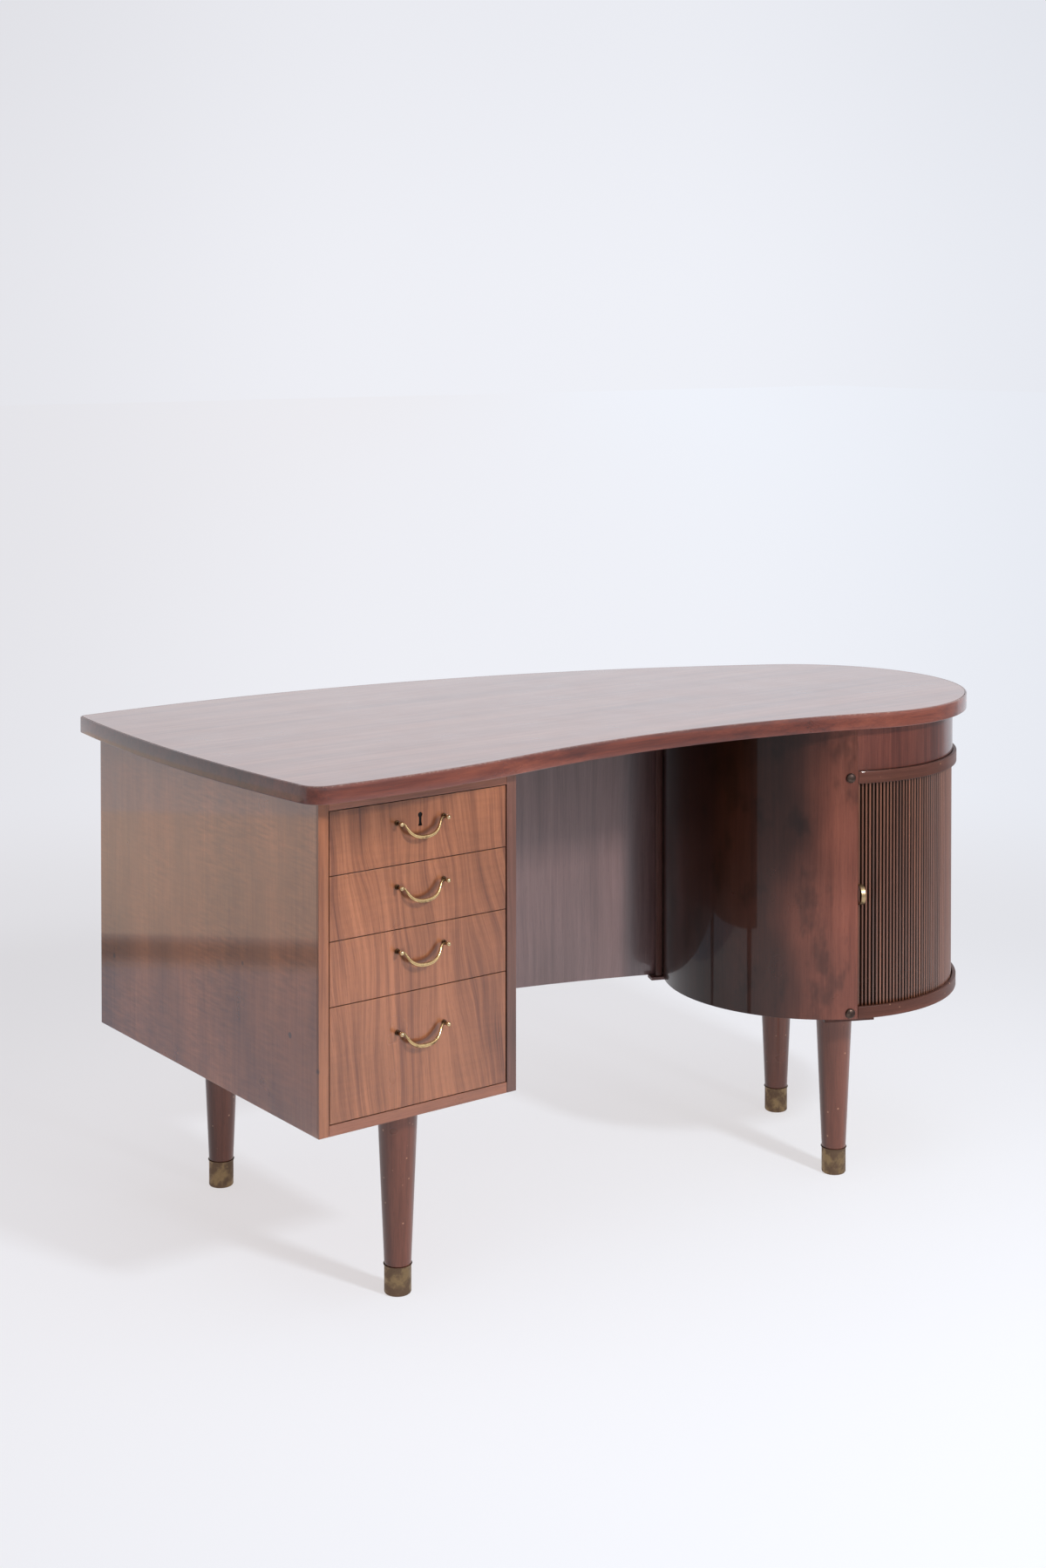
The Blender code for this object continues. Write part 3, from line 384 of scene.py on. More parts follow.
def wood(name, grain, tones, warp=0.03, lean=0.0, contrast=1.0, ripple=0.0, patches=0.0,
         uneven=0.0, gloss=0.30, coat=0.8, specular=0.5, marks=None, polished=None):
    """Make a polished wood from four tones, from its dark streaks to its lightest bands."""
    constants = {"Coat Roughness": POLISH_ROUGHNESS, "Coat Weight": coat,
                 "Specular IOR Level": specular}
    material, graph, shader = start_finish(name, constants)
    along, across, depth = grain_parts(graph, grain)
    flow = graph.noise(graph.vector(along * 0.45, across, depth), 5.0, 2.0) - 0.5
    across = across + along * lean + flow * warp

    def streaks(frequency, stretch, detail):
        return graph.noise(graph.vector(along * stretch, across, depth), frequency, detail, 0.6)

    bands = streaks(*BANDS)
    lines = streaks(*LINES)
    fibres = streaks(*FIBRES)
    figure = bands * BAND_SHARE + lines * LINE_SHARE + fibres * FIBRE_SHARE
    tone = 0.5 + contrast * (figure - 0.5)
    stops = list(zip(TONE_STOPS, tones))
    colour = graph.add("ShaderNodeValToRGB", {"stops": stops}, {0: tone})
    pores = graph.fade(streaks(*PORES), 0.60, 0.70)
    colour = graph.mix(pores * PORE_STRENGTH, colour, (*tones[0], 1.0))
    if ripple:
        bars = graph.noise(graph.vector(along * 6.0, across * 0.8, depth), 32.0, 2.0)
        folds = graph.noise(graph.vector(along, across, depth), 6.0, 1.0)
        silk = 0.35 + 0.65 * graph.fade(folds, 0.38, 0.62)
        colour = graph.shade(colour, 1.0 + ripple * (bars - 0.5) * silk)
    if patches:
        drift = graph.noise(graph.vector(along * 0.6, across, depth), 8.0, 3.0)
        colour = graph.shade(colour, 1.0 + patches * (drift - 0.5))
    if marks:
        colour = marks(graph, colour)
    if polished:
        graph.feed(shader, {"Coat Weight": coat * polished(graph)})
    handled = graph.noise(graph.vector(along, across, depth), 14.0, 3.0)
    height = fibres * 0.5 - pores * 0.5
    if uneven:
        height = height + uneven * graph.noise(graph.vector(along, across, depth), 26.0, 1.0)
    sockets = {"Height": height, "Strength": GRAIN_RELIEF, "Distance": RELIEF_DEPTH}
    normal = graph.add("ShaderNodeBump", (), sockets)
    rough = gloss + 0.14 * (handled - 0.5)
    graph.feed(shader, {"Base Color": colour, "Roughness": rough, "Normal": normal})
    return material


print("wood maker ready, cabinet axis at", [round(value, 4) for value in CABINET_AXIS])

# %% [markdown]
# Use leaves marks on wood. Legs collect pale nicks, the top's edge is rubbed through to bare
# wood along its upper arris, and an old side panel has a few dark knots. The slats of the tambour
# come from many sticks, so each has its own tone. Other layers paint in shade that these lamps
# leave too weak: behind the handles, under the top, beside the kneehole, on the band's left end,
# in the grooves between the slats and on the rims of the cabinet's round boards. Painted light
# brightens the kneehole panel by the cabinet, and a painted pale sheen lies on the far slats of
# the tambour. Painted shade and light are part of the wood, so they stay there when a drawer opens
# or the light changes. All of these are small layers that a wood can take on.

# %% Marks of use, painted shade and painted light
PALE_NICK = (0.42, 0.21, 0.12, 1.0)
RUBBED_WOOD = (0.46, 0.33, 0.27, 1.0)
KNOT_TONE = (0.05, 0.025, 0.018, 1.0)
PAINTED_GAP_SHADE = (0.012, 0.007, 0.005, 1.0)
PAINTED_SLAT_SHEEN = (0.26, 0.16, 0.14, 1.0)
HANDLE_SHADE = (0.085, 0.022, 0.007, 1.0)
DRAWERS = (1, 2, 3, 4)
DRAWER_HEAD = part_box("drawer_1_front")[1].z
DRAWER_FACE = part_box("drawer_1_front")[0].y
HANDLE_LEVELS = [sum(corner.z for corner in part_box(f"drawer_{n}_post_left")) / 2 for n in DRAWERS]
HANDLE_MIDDLE = (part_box("drawer_1_bail")[0].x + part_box("drawer_1_bail")[1].x) / 2
SHADE_SHIFT = 0.003
SHADE_HALF_WIDTH = 0.027
SHADE_DROP = 0.0195
OVERHANG_START = -0.36
OVERHANG_FULL = -0.52
TOP_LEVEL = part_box("desktop")[1].z
SHELL_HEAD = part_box("shell_front")[1].z
SHELL_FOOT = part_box("shell_front")[0].z
PANEL_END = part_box("modesty_panel")[1].x
BAND_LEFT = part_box("desktop_edge_band")[0].x
SHELL_INSIDE = 0.231
OPENING_START = math.radians(-115.3)
CURTAIN_START = OPENING_START + math.radians(0.25)
CURTAIN_FACE = 0.2295
SLAT_SPACING = 0.0062
SLAT_PITCH = SLAT_SPACING / CURTAIN_FACE


def spots(graph, scale, size):
    """Scatter small round spots over a piece."""
    place = graph.add("ShaderNodeTexCoord", output="Object")
    cells = graph.add("ShaderNodeTexVoronoi", (), {"Vector": place, "Scale": scale}, "Distance")
    return graph.fade(cells, size, size * 0.5)


def with_nicks(graph, colour):
    """Add pale nicks."""
    return graph.mix(spots(graph, 60.0, 0.11) * 0.75, colour, PALE_NICK)


def with_knots_and_painted_shade(graph, colour):
    """Add a few dark knots, paint shade under the top, and darken the wood towards the back."""
    x, y, z = graph.parts(graph.add("ShaderNodeTexCoord", output="Object"))
    # Painted shade under the top.
    shade_under_top = graph.fade(z, SHELL_HEAD, SHELL_HEAD - 0.055)
    towards_back = graph.fade(y, 0.10, 0.34)
    colour = graph.mix(spots(graph, 9.0, 0.05) * 0.8, colour, KNOT_TONE)
    return graph.shade(colour, (0.64 + 0.36 * shade_under_top) * (1.0 - 0.17 * towards_back))


def with_shaded_head(graph, colour):
    """Paint shade on a panel towards its head, and paint light on it towards the cabinet."""
    x, y, z = graph.parts(graph.add("ShaderNodeTexCoord", output="Object"))
    # Painted light towards the cabinet, and painted shade towards the head.
    painted_light_by_cabinet = 1.0 + 0.35 * graph.fade(x, PANEL_END - 0.16, PANEL_END - 0.03)
    shade_under_top = graph.fade(z, SHELL_HEAD, SHELL_HEAD - 0.20)
    return graph.shade(colour, (0.66 + 0.30 * shade_under_top) * painted_light_by_cabinet)


def with_painted_shade(graph, colour):
    """Paint in the shadow behind each bail, and the shade under the top's overhang."""
    x, y, z = graph.parts(graph.add("ShaderNodeTexCoord", output="Object"))
    across = (x - HANDLE_MIDDLE + SHADE_SHIFT) * (1.0 / SHADE_HALF_WIDTH)
    arcs = 0.0
    for level in HANDLE_LEVELS:
        down = (z - level) * (1.0 / SHADE_DROP)
        ring = graph.math("ABSOLUTE", graph.math("SQRT", across * across + down * down) - 1.0)
        arc = graph.fade(ring, 0.26, 0.04) * graph.fade(z, level + 0.006, level - 0.004)
        arcs = arc + arcs
    high = graph.fade(z, DRAWER_HEAD - 0.07, DRAWER_HEAD)
    under_top = high * graph.fade(x, OVERHANG_START, OVERHANG_FULL)
    colour = graph.shade(colour, 1.0 - 0.34 * under_top)
    return graph.mix(arcs * 0.8, colour, HANDLE_SHADE)


def with_rubbed_arris(graph, colour):
    """Rub specks off the top's upper edge, nick the band, and paint shade on its left end."""
    place = graph.add("ShaderNodeTexCoord", output="Object")
    x, y, z = graph.parts(place)
    specks = graph.fade(graph.noise(place, 340.0, 3.0, 0.7), 0.50, 0.60)
    worn = graph.fade(graph.noise(place, 7.0, 2.0), 0.40, 0.56)
    edge = graph.fade(z, TOP_LEVEL - 0.0022, TOP_LEVEL - 0.0004)
    # Painted shade on the band's left end.
    shaded_left_end = graph.fade(x, BAND_LEFT + 0.016, BAND_LEFT + 0.003)
    colour = graph.shade(colour, 1.0 - 0.45 * shaded_left_end)
    colour = graph.mix(specks * worn * edge * 0.35, colour, RUBBED_WOOD)
    return graph.mix(spots(graph, 75.0, 0.10) * 0.6, colour, KNOT_TONE)


def with_slat_tones(graph, colour):
    """Give each slat its own tone, paint a sheen far from the pull, and paint shade in the grooves.
    """
    arc = grain_parts(graph, "round")[0]
    turn = arc * (1.0 / CABINET_RADIUS) - CURTAIN_START
    number = graph.math("FLOOR", turn * (1.0 / SLAT_PITCH))
    settings = {"noise_dimensions": "1D"}
    tone = graph.add("ShaderNodeTexWhiteNoise", settings, {"W": number})
    colour = graph.shade(colour, 0.65 + 0.7 * tone)
    # A painted pale sheen on the slats far from the pull.
    colour = graph.mix(graph.fade(turn, 0.48, 0.95) * 0.31, colour, PAINTED_SLAT_SHEEN)
    # Painted shade in the grooves between the slats.
    return graph.mix(on_crests(graph), PAINTED_GAP_SHADE, colour)


def on_crests(graph):
    """Rise from 0 in the grooves between the slats to 1 on their crests."""
    reach = grain_parts(graph, "round")[2]
    return graph.fade(reach, CURTAIN_FACE - 0.0017, CURTAIN_FACE - 0.0003)


def with_painted_rim_shade(graph, colour):
    """Paint shade on the rim of a round board, which shows as a dark line beside the rails."""
    reach = grain_parts(graph, "round")[2]
    # Painted shade on the rim.
    rim = graph.fade(reach, SHELL_INSIDE - 0.003, SHELL_INSIDE - 0.001)
    return graph.mix(rim, colour, PAINTED_GAP_SHADE)


def with_shaded_end(graph, colour):
    """Darken the shell by the kneehole along an uneven line, paint shade at its head, darken its
    foot.
    """
    place = graph.add("ShaderNodeTexCoord", output="Object")
    x, y, z = graph.parts(place)
    wander = graph.noise(graph.vector(x, y, z * 0.7), 7.0, 2.0) - 0.5
    # By the kneehole the shell is darker partly in its veneer and partly by painted shade.
    light = graph.fade(x - CABINET_AXIS.x + wander * 0.10, -0.190, -0.126)
    # Painted shade under the top.
    shade_under_top = graph.fade(z, SHELL_HEAD, SHELL_HEAD - 0.30)
    smudges = graph.fade(graph.noise(graph.vector(x, y, z * 0.6), 24.0, 3.0, 0.6), 0.50, 0.72)
    low = graph.fade(z, SHELL_FOOT + 0.16, SHELL_FOOT) * light
    colour = graph.shade(colour, (1.0 - 0.45 * smudges) * (1.0 - 0.26 * low))
    return graph.shade(colour, (0.17 + 0.80 * light) * (0.54 + 0.46 * shade_under_top))


print("marks and shade ready")

# %% [markdown]
# Now the woods themselves. The top, the side and the drawers are warm and light; the cabinet's
# shell and the band are redder and darker; the insides are plain, pale beech.

# %% Woods
BEECH = [(0.33, 0.20, 0.10), (0.46, 0.30, 0.16), (0.54, 0.37, 0.21), (0.60, 0.43, 0.26)]
WOODS = {
    "top_veneer": (
        "x",
        [(0.17, 0.055, 0.035), (0.25, 0.09, 0.055), (0.30, 0.115, 0.07), (0.36, 0.15, 0.09)],
        {"warp": 0.02, "coat": 1.0, "specular": 0.7}),
    "side_veneer": (
        "z",
        [(0.175, 0.052, 0.018), (0.28, 0.089, 0.031), (0.345, 0.114, 0.040), (0.41, 0.141, 0.053)],
        {"contrast": 0.5, "ripple": 1.1, "patches": 1.5, "coat": 1.0, "specular": 0.8,
         "uneven": 25.0, "marks": with_knots_and_painted_shade}),
    "drawer_veneer": (
        "z",
        [(0.10, 0.030, 0.015), (0.205, 0.070, 0.030), (0.265, 0.094, 0.041), (0.32, 0.119, 0.055)],
        {"warp": 0.12, "lean": 0.10, "ripple": 0.25, "contrast": 1.05, "patches": 0.9, "coat": 0.7,
         "marks": with_painted_shade}),
    "lip_left": (
        "z",
        [(0.13, 0.038, 0.015), (0.22, 0.072, 0.029), (0.27, 0.093, 0.038), (0.31, 0.115, 0.049)],
        {"warp": 0.01, "patches": 1.2, "marks": with_knots_and_painted_shade}),
    "lip_right": (
        "z",
        [(0.06, 0.022, 0.014), (0.11, 0.041, 0.026), (0.14, 0.055, 0.036), (0.17, 0.068, 0.045)],
        {"warp": 0.01, "patches": 1.2}),
    "lip_level": (
        "x",
        [(0.12, 0.036, 0.017), (0.19, 0.062, 0.030), (0.23, 0.078, 0.038), (0.27, 0.096, 0.047)],
        {"warp": 0.01, "patches": 1.0}),
    "edge_wood": (
        "x",
        [(0.05, 0.009, 0.005), (0.10, 0.019, 0.009), (0.14, 0.030, 0.014), (0.19, 0.045, 0.022)],
        {"warp": 0.01, "marks": with_rubbed_arris}),
    "panel_veneer": (
        "z",
        [(0.056, 0.026, 0.023), (0.095, 0.046, 0.042), (0.12, 0.062, 0.057), (0.15, 0.079, 0.073)],
        {"gloss": 0.38, "patches": 0.6, "specular": 0.9, "contrast": 0.8,
         "marks": with_shaded_head}),
    "post_wood": (
        "z",
        [(0.06, 0.020, 0.014), (0.09, 0.033, 0.024), (0.12, 0.046, 0.034), (0.15, 0.06, 0.045)],
        {"warp": 0.01, "coat": 0.1, "gloss": 0.5}),
    "shell_veneer": (
        "z",
        [(0.080, 0.020, 0.011), (0.155, 0.042, 0.024), (0.20, 0.058, 0.034), (0.26, 0.080, 0.048)],
        {"warp": 0.03, "patches": 1.2, "contrast": 0.65, "coat": 0.6, "specular": 0.2,
         "marks": with_shaded_end}),
    "frieze_veneer": (
        "z",
        [(0.031, 0.007, 0.004), (0.063, 0.014, 0.008), (0.090, 0.022, 0.013), (0.125, 0.032, 0.018)],
        {"warp": 0.015, "patches": 1.0, "coat": 0.6, "specular": 0.35}),
    "rail_wood": (
        "round",
        [(0.034, 0.010, 0.006), (0.062, 0.020, 0.012), (0.082, 0.027, 0.017), (0.11, 0.037, 0.023)],
        {"warp": 0.005, "coat": 0.15, "gloss": 0.45, "specular": 0.2, "patches": 0.8,
         "marks": with_nicks}),
    "slat_wood": (
        "z",
        [(0.055, 0.018, 0.009), (0.100, 0.035, 0.018), (0.135, 0.050, 0.027), (0.175, 0.068, 0.038)],
        {"warp": 0.0, "coat": 0.9, "specular": 0.4, "marks": with_slat_tones,
         "polished": on_crests}),
    "leg_wood": (
        "z",
        [(0.06, 0.017, 0.009), (0.100, 0.029, 0.016), (0.127, 0.038, 0.021), (0.16, 0.050, 0.029)],
        {"warp": 0.01, "coat": 0.25, "marks": with_nicks}),
    "beech": ("y", BEECH, {"gloss": 0.5, "coat": 0.0}),
    "rimmed_beech": ("y", BEECH, {"gloss": 0.5, "coat": 0.0, "marks": with_painted_rim_shade}),
}
FINISHES = {name: wood(name, grain, tones, **traits)
            for name, (grain, tones, traits) in WOODS.items()}
print("woods:", ", ".join(FINISHES))

# %% [markdown]
# ## Metal
#
# The handles are brass that hands keep bright, with a brown film in the corners. The feet have
# never been polished, and their brass has turned brown. One function makes every metal, from a
# clean colour, a film and the share that the film covers.

# %% Brass and steel
SCUFF_RELIEF = 0.06


def metal(name, clean, film, film_share, gloss, film_scale=60.0, corners=None):
    """Make a metal that is partly covered by a dull film, and fully in its corners."""
    material, graph, shader = start_finish(name, {"Metallic": 1.0})
    place = graph.add("ShaderNodeTexCoord", output="Object")
    film_noise = graph.noise(place, film_scale, 4.0, 0.62)
    covered = graph.fade(film_noise, 0.72 - film_share, 0.92 - film_share)
    if corners:
        covered = graph.math("MAXIMUM", covered, corners(graph, place))
    scuffs = graph.noise(place, film_scale * 9.0, 2.0)
    colour = graph.mix(covered, (*clean, 1.0), (*film, 1.0))
    colour = graph.shade(colour, 0.85 + 0.3 * scuffs)
    sockets = {"Height": scuffs, "Strength": SCUFF_RELIEF, "Distance": RELIEF_DEPTH}
    normal = graph.add("ShaderNodeBump", (), sockets)
    rough = gloss + 0.25 * covered + 0.08 * scuffs
    graph.feed(shader, {"Base Color": colour, "Roughness": rough, "Normal": normal})
    return material


def at_bail_ends(graph, place):
    """Find the thin ends of the bails, far from the middle of the drawers."""
    return graph.fade(graph.math("ABSOLUTE", graph.parts(place)[0] - HANDLE_MIDDLE), 0.024, 0.034)


def at_post_feet(graph, place):
    """Find the posts' collars and stems, close to the drawers' faces."""
    return graph.fade(DRAWER_FACE - graph.parts(place)[1], 0.0100, 0.0070)


METALS = {
    "bail_brass": ((0.66, 0.46, 0.225), (0.17, 0.105, 0.050), 0.22, 0.14, 45.0, at_bail_ends),
    "post_brass": ((0.62, 0.46, 0.26), (0.075, 0.042, 0.022), 0.16, 0.18, 60.0, at_post_feet),
    "pull_brass": ((0.46, 0.33, 0.18), (0.13, 0.085, 0.048), 0.26, 0.26),
    "aged_brass": ((0.265, 0.182, 0.098), (0.17, 0.112, 0.074), 0.34, 0.36),
    "button_brass": ((0.11, 0.075, 0.058), (0.06, 0.04, 0.034), 0.36, 0.18),
    "keyhole_shade_black": ((0.02, 0.02, 0.022), (0.012, 0.011, 0.011), 0.30, 0.5),
    "steel": ((0.30, 0.29, 0.28), (0.15, 0.13, 0.11), 0.30, 0.35),
}
FINISHES.update({name: metal(name, *traits) for name, traits in METALS.items()})
print("metals:", ", ".join(METALS))

# %% [markdown]
# ## Modelling by hand, in code
#
# Each tool below is what a person does in Blender's edit mode. An operator acts on everything
# that is selected, so every tool starts by selecting its own piece and nothing else.

# %% Modelling tools
SOFT_ANGLE = math.radians(20)
SHARP_ANGLE = math.radians(40)
CABINET_PLACE = (CABINET_AXIS.x, CABINET_AXIS.y, 0.0)


def activate(piece):
    """Select one piece alone."""
    bpy.ops.object.select_all(action="DESELECT")
    piece.select_set(True)
    bpy.context.view_layer.objects.active = piece


def new_piece(name):
    """Name the primitive that was just added, and put its place into its mesh."""
    piece = bpy.context.active_object
    piece.name = name
    piece.data.name = name
    bpy.ops.object.transform_apply(location=True, rotation=True, scale=True)
    return piece


def move_piece(piece, place=(0, 0, 0), turn=(0, 0, 0)):
    """Turn a piece about the origin, move it, and put both into its mesh."""
    activate(piece)
    piece.rotation_euler = turn
    piece.location = place
    bpy.ops.object.transform_apply(location=True, rotation=True, scale=True)
    return piece


def close_up(piece):
    """Merge doubled points and turn all faces outwards."""
    activate(piece)
    bpy.ops.object.mode_set(mode="EDIT")
    bpy.ops.mesh.select_all(action="SELECT")
    bpy.ops.mesh.remove_doubles(threshold=0.000002)
    bpy.ops.mesh.normals_make_consistent(inside=False)
    bpy.ops.object.mode_set(mode="OBJECT")
    return piece


def shape_with(piece, kind, **settings):
    """Add one modifier and apply it."""
    activate(piece)
    modifier = piece.modifiers.new(kind.title(), kind)
    for key, value in settings.items():
        setattr(modifier, key, value)
    bpy.ops.object.modifier_apply(modifier=modifier.name)
    return piece


def ease(piece, width, segments=2):
    """Round a piece's sharp edges a little, as sandpaper does, and shade it smooth."""
    shape_with(piece, "BEVEL", width=width, segments=segments, limit_method="ANGLE",
               angle_limit=SHARP_ANGLE)
    activate(piece)
    bpy.ops.object.shade_smooth_by_angle(angle=SOFT_ANGLE)
    return piece


def board(name, low, high, width=0.0006):
    """Saw a straight board between two corners and ease its edges."""
    bpy.ops.object.select_all(action="DESELECT")
    low, high = Vector(low), Vector(high)
    bpy.ops.mesh.primitive_cube_add(size=1.0, location=(low + high) / 2, scale=high - low)
    return ease(new_piece(name), width)


def bent_board(name, inner, outer, start, end, low, high, width=0.0006, steps=96):
    """Spin a board's end face round the cabinet's axis, from one angle to another."""
    bpy.ops.object.select_all(action="DESELECT")
    middle = ((inner + outer) / 2, 0.0, (low + high) / 2)
    size = (outer - inner, high - low, 1.0)
    bpy.ops.mesh.primitive_plane_add(size=1.0, location=middle, rotation=(math.pi / 2, 0, 0))
    bpy.context.active_object.scale = size
    piece = move_piece(new_piece(name), turn=(0, 0, start))
    bpy.ops.object.mode_set(mode="EDIT")
    bpy.ops.mesh.select_all(action="SELECT")
    bpy.ops.mesh.spin(steps=steps, angle=start - end, center=(0, 0, 0), axis=(0, 0, 1))
    bpy.ops.object.mode_set(mode="OBJECT")
    close_up(piece)
    return move_piece(ease(piece, width), CABINET_PLACE)


def turned(name, profile, sides=56):
    """Draw a profile of (radius, height) points and spin it once round the Z axis."""
    bpy.ops.object.select_all(action="DESELECT")
    bpy.ops.mesh.primitive_plane_add(size=0.001)
    piece = new_piece(name)
    bpy.ops.object.mode_set(mode="EDIT")
    bpy.ops.mesh.select_all(action="SELECT")
    bpy.ops.mesh.merge(type="CENTER")
    radius, height = profile[0]
    bpy.ops.transform.translate(value=(radius, 0, height))
    for next_radius, next_height in profile[1:]:
        step = (next_radius - radius, 0, next_height - height)
        bpy.ops.mesh.extrude_region_move(TRANSFORM_OT_translate={"value": step})
        radius, height = next_radius, next_height
    bpy.ops.mesh.select_all(action="SELECT")
    bpy.ops.mesh.spin(steps=sides, angle=2 * math.pi, center=(0, 0, 0), axis=(0, 0, 1))
    bpy.ops.object.mode_set(mode="OBJECT")
    close_up(piece)
    bpy.ops.object.shade_smooth_by_angle(angle=SOFT_ANGLE)
    return piece


def copy_piece(piece, name, shift):
    """Copy a finished piece with a mesh of its own, and move the copy."""
    activate(piece)
    bpy.ops.object.duplicate()
    copy = bpy.context.active_object
    copy.name = name
    copy.data.name = name
    return move_piece(copy, shift)


def settle(piece, body, slot, finish, *nodes):
    """Give a piece its finish, the body that it rides on and the solids that it stands for."""
    piece.data.materials.clear()
    piece.data.materials.append(FINISHES[finish])
    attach(piece, body)
    if nodes:
        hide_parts(*nodes)
    return piece


def polish(finish, *nodes):
    """Give solids that already have the right shape a better finish."""
    for node in nodes:
        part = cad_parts[node]
        part.data.materials.clear()
        part.data.materials.append(FINISHES[finish])


# %% [markdown]
# ## The top
#
# The top is a veneered board with a solid band glued round its edge. The flat field already has
# its final shape as a solid, so it only gets its veneer. The band's sharp arris would catch no
# light, so a copy of it is merged into clean quads and its edges are rounded.

# %% Top
polish("top_veneer", "desktop")


def eased_copy(name, node, width, segments=2):
    """Copy a solid, merge its loose triangles and round its sharp edges."""
    piece = bpy.data.objects.new(name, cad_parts[node].data.copy())
    piece.data.name = name
    scene.collection.objects.link(piece)
    close_up(piece)
    bpy.ops.object.mode_set(mode="EDIT")
    bpy.ops.mesh.tris_convert_to_quads()
    bpy.ops.mesh.customdata_custom_splitnormals_clear()
    bpy.ops.object.mode_set(mode="OBJECT")
    return ease(piece, width, segments)


band = eased_copy("top_band", "desktop_edge_band", 0.0014, 3)
settle(band, "carcass", "edge_wood", "edge_wood", "desktop_edge_band")
print("top band:", len(band.data.polygons), "faces")

# %% [markdown]
# ## The drawer pedestal
#
# The carcass is four boards and a rail. On the real one the front edges are lipped with strips of
# plain wood, which hide the core under the veneer. So the sides and the bottom are sawn a little
# short, and the strip that was cut off comes back as a lipping with a grain of its own.

# %% Pedestal boards
LIPPING = 0.004

for side in ("left", "right"):
    low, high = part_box(f"pedestal_side_{side}")
    seam = Vector((low.x, low.y + LIPPING, low.z))
    panel = board(f"pedestal_panel_{side}", seam, high)
    settle(panel, "carcass", "figured_veneer", "side_veneer", f"pedestal_side_{side}")
    strip = board(f"pedestal_lipping_{side}", low, (high.x, low.y + LIPPING, high.z))
    settle(strip, "carcass", "edge_wood", f"lip_{side}")

low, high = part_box("pedestal_floor")
settle(board("pedestal_bottom", (low.x, low.y + LIPPING, low.z), high),
       "carcass", "figured_veneer", "side_veneer", "pedestal_floor")
settle(board("pedestal_lipping_bottom", low, (high.x, low.y + LIPPING, high.z)),
       "carcass", "edge_wood", "lip_level")
settle(board("pedestal_rear", *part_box("pedestal_back")),
       "carcass", "figured_veneer", "side_veneer", "pedestal_back")
settle(eased_copy("pedestal_rail", "pedestal_top_rail", 0.0005),
       "carcass", "edge_wood", "lip_level", "pedestal_top_rail")
polish("beech", "runner_frame_left", "runner_frame_right")
print("pedestal boards made")

# %% [markdown]
# ## Drawers
#
# The four fronts are one sheet of veneer, so their figure runs on from drawer to drawer: the
# same finish on object coordinates does that by itself. The top front's keyhole is dark, because
# a near-black plate just behind the face paints in the shade inside it.

# %% Drawer fronts
KEYHOLE_LEVEL = 0.6736
KEYHOLE_DEPTH = 0.0012
PLATE_HALF_WIDTH = 0.005
PLATE_BELOW = 0.017
PLATE_ABOVE = 0.006
PLATE_THICK = 0.0008

for number in DRAWERS:
    node = f"drawer_{number}_front"
    face = eased_copy(f"drawer_{number}_face", node, 0.0003)
    settle(face, f"drawer_{number}", "figured_veneer", "drawer_veneer", node)
    polish("beech", f"drawer_{number}_box", f"drawer_{number}_bottom")
polish("steel", "drawer_1_lock_case", "drawer_1_lock_bolt")
# A near-black plate behind the keyhole paints in the shade inside the hole.
plate_y = DRAWER_FACE + KEYHOLE_DEPTH
low = (HANDLE_MIDDLE - PLATE_HALF_WIDTH, plate_y, KEYHOLE_LEVEL - PLATE_BELOW)
high = (HANDLE_MIDDLE + PLATE_HALF_WIDTH, plate_y + PLATE_THICK, KEYHOLE_LEVEL + PLATE_ABOVE)
plate = board("keyhole_plate", low, high, 0.0001)
settle(plate, "drawer_1", "steel", "keyhole_shade_black")
print("drawers dressed:", len(DRAWERS))

# %% [markdown]
# ## Handles
#
# A bail is drawn as a curve: it leaves its post level, swings down through a swan neck and runs
# flat across the middle, where it is thickest. A bevelled curve gives that with five points. At
# rest the bail leans out from the drawer, so that fingers find it. The post is turned: a collar,
# a stem that the bail swings in, and a bright ball.

# %% Handles
POST_HALF_SPACING = 0.038
PIVOT_OUT = 0.0058
BALL_OUT = 0.0116
BALL_RADIUS = 0.0034
STEM_RADIUS = 0.0024
COLLAR_RADIUS = 0.0036
BAIL_SHOULDER = 0.0347
BAIL_BEND = 0.0249
BAIL_BULGE = 0.0298
BAIL_DROP = 0.0225
BAIL_LEAN = math.radians(19)
BAIL_THICK = 0.0029
BAIL_THIN = 0.0012
BAIL_END = POST_HALF_SPACING + 0.001


def bail(name):
    """Bend a bail about the origin, hanging along -Z and leaning out, as a mesh."""
    bpy.ops.object.select_all(action="DESELECT")
    bpy.ops.curve.primitive_bezier_curve_add()
    curve = bpy.context.active_object
    curve.data.bevel_depth = BAIL_THICK
    curve.data.bevel_resolution = 5
    curve.data.resolution_u = 16
    curve.data.use_fill_caps = True
    points = curve.data.splines[0].bezier_points
    points.add(3)
    pin = (POST_HALF_SPACING + BAIL_SHOULDER) / 2
    shape = [(-BAIL_END, -POST_HALF_SPACING, -pin, 0.0, BAIL_THIN),
             (-pin, -BAIL_SHOULDER, -BAIL_BEND, 0.0, BAIL_THIN),
             (-BAIL_BULGE, 0.0, BAIL_BULGE, -BAIL_DROP, BAIL_THICK),
             (BAIL_BEND, BAIL_SHOULDER, pin, 0.0, BAIL_THIN),
             (pin, POST_HALF_SPACING, BAIL_END, 0.0, BAIL_THIN)]
    for point, (left, x, right, z, thickness) in zip(points, shape):
        point.handle_left_type = point.handle_right_type = "FREE"
        point.co = (x, 0, z)
        point.handle_left = (left, 0, z)
        point.handle_right = (right, 0, z)
        point.radius = thickness / BAIL_THICK
    bpy.ops.object.convert(target="MESH")
    piece = close_up(new_piece(name))
    bpy.ops.object.shade_smooth()
    return move_piece(piece, turn=(-BAIL_LEAN, 0, 0))


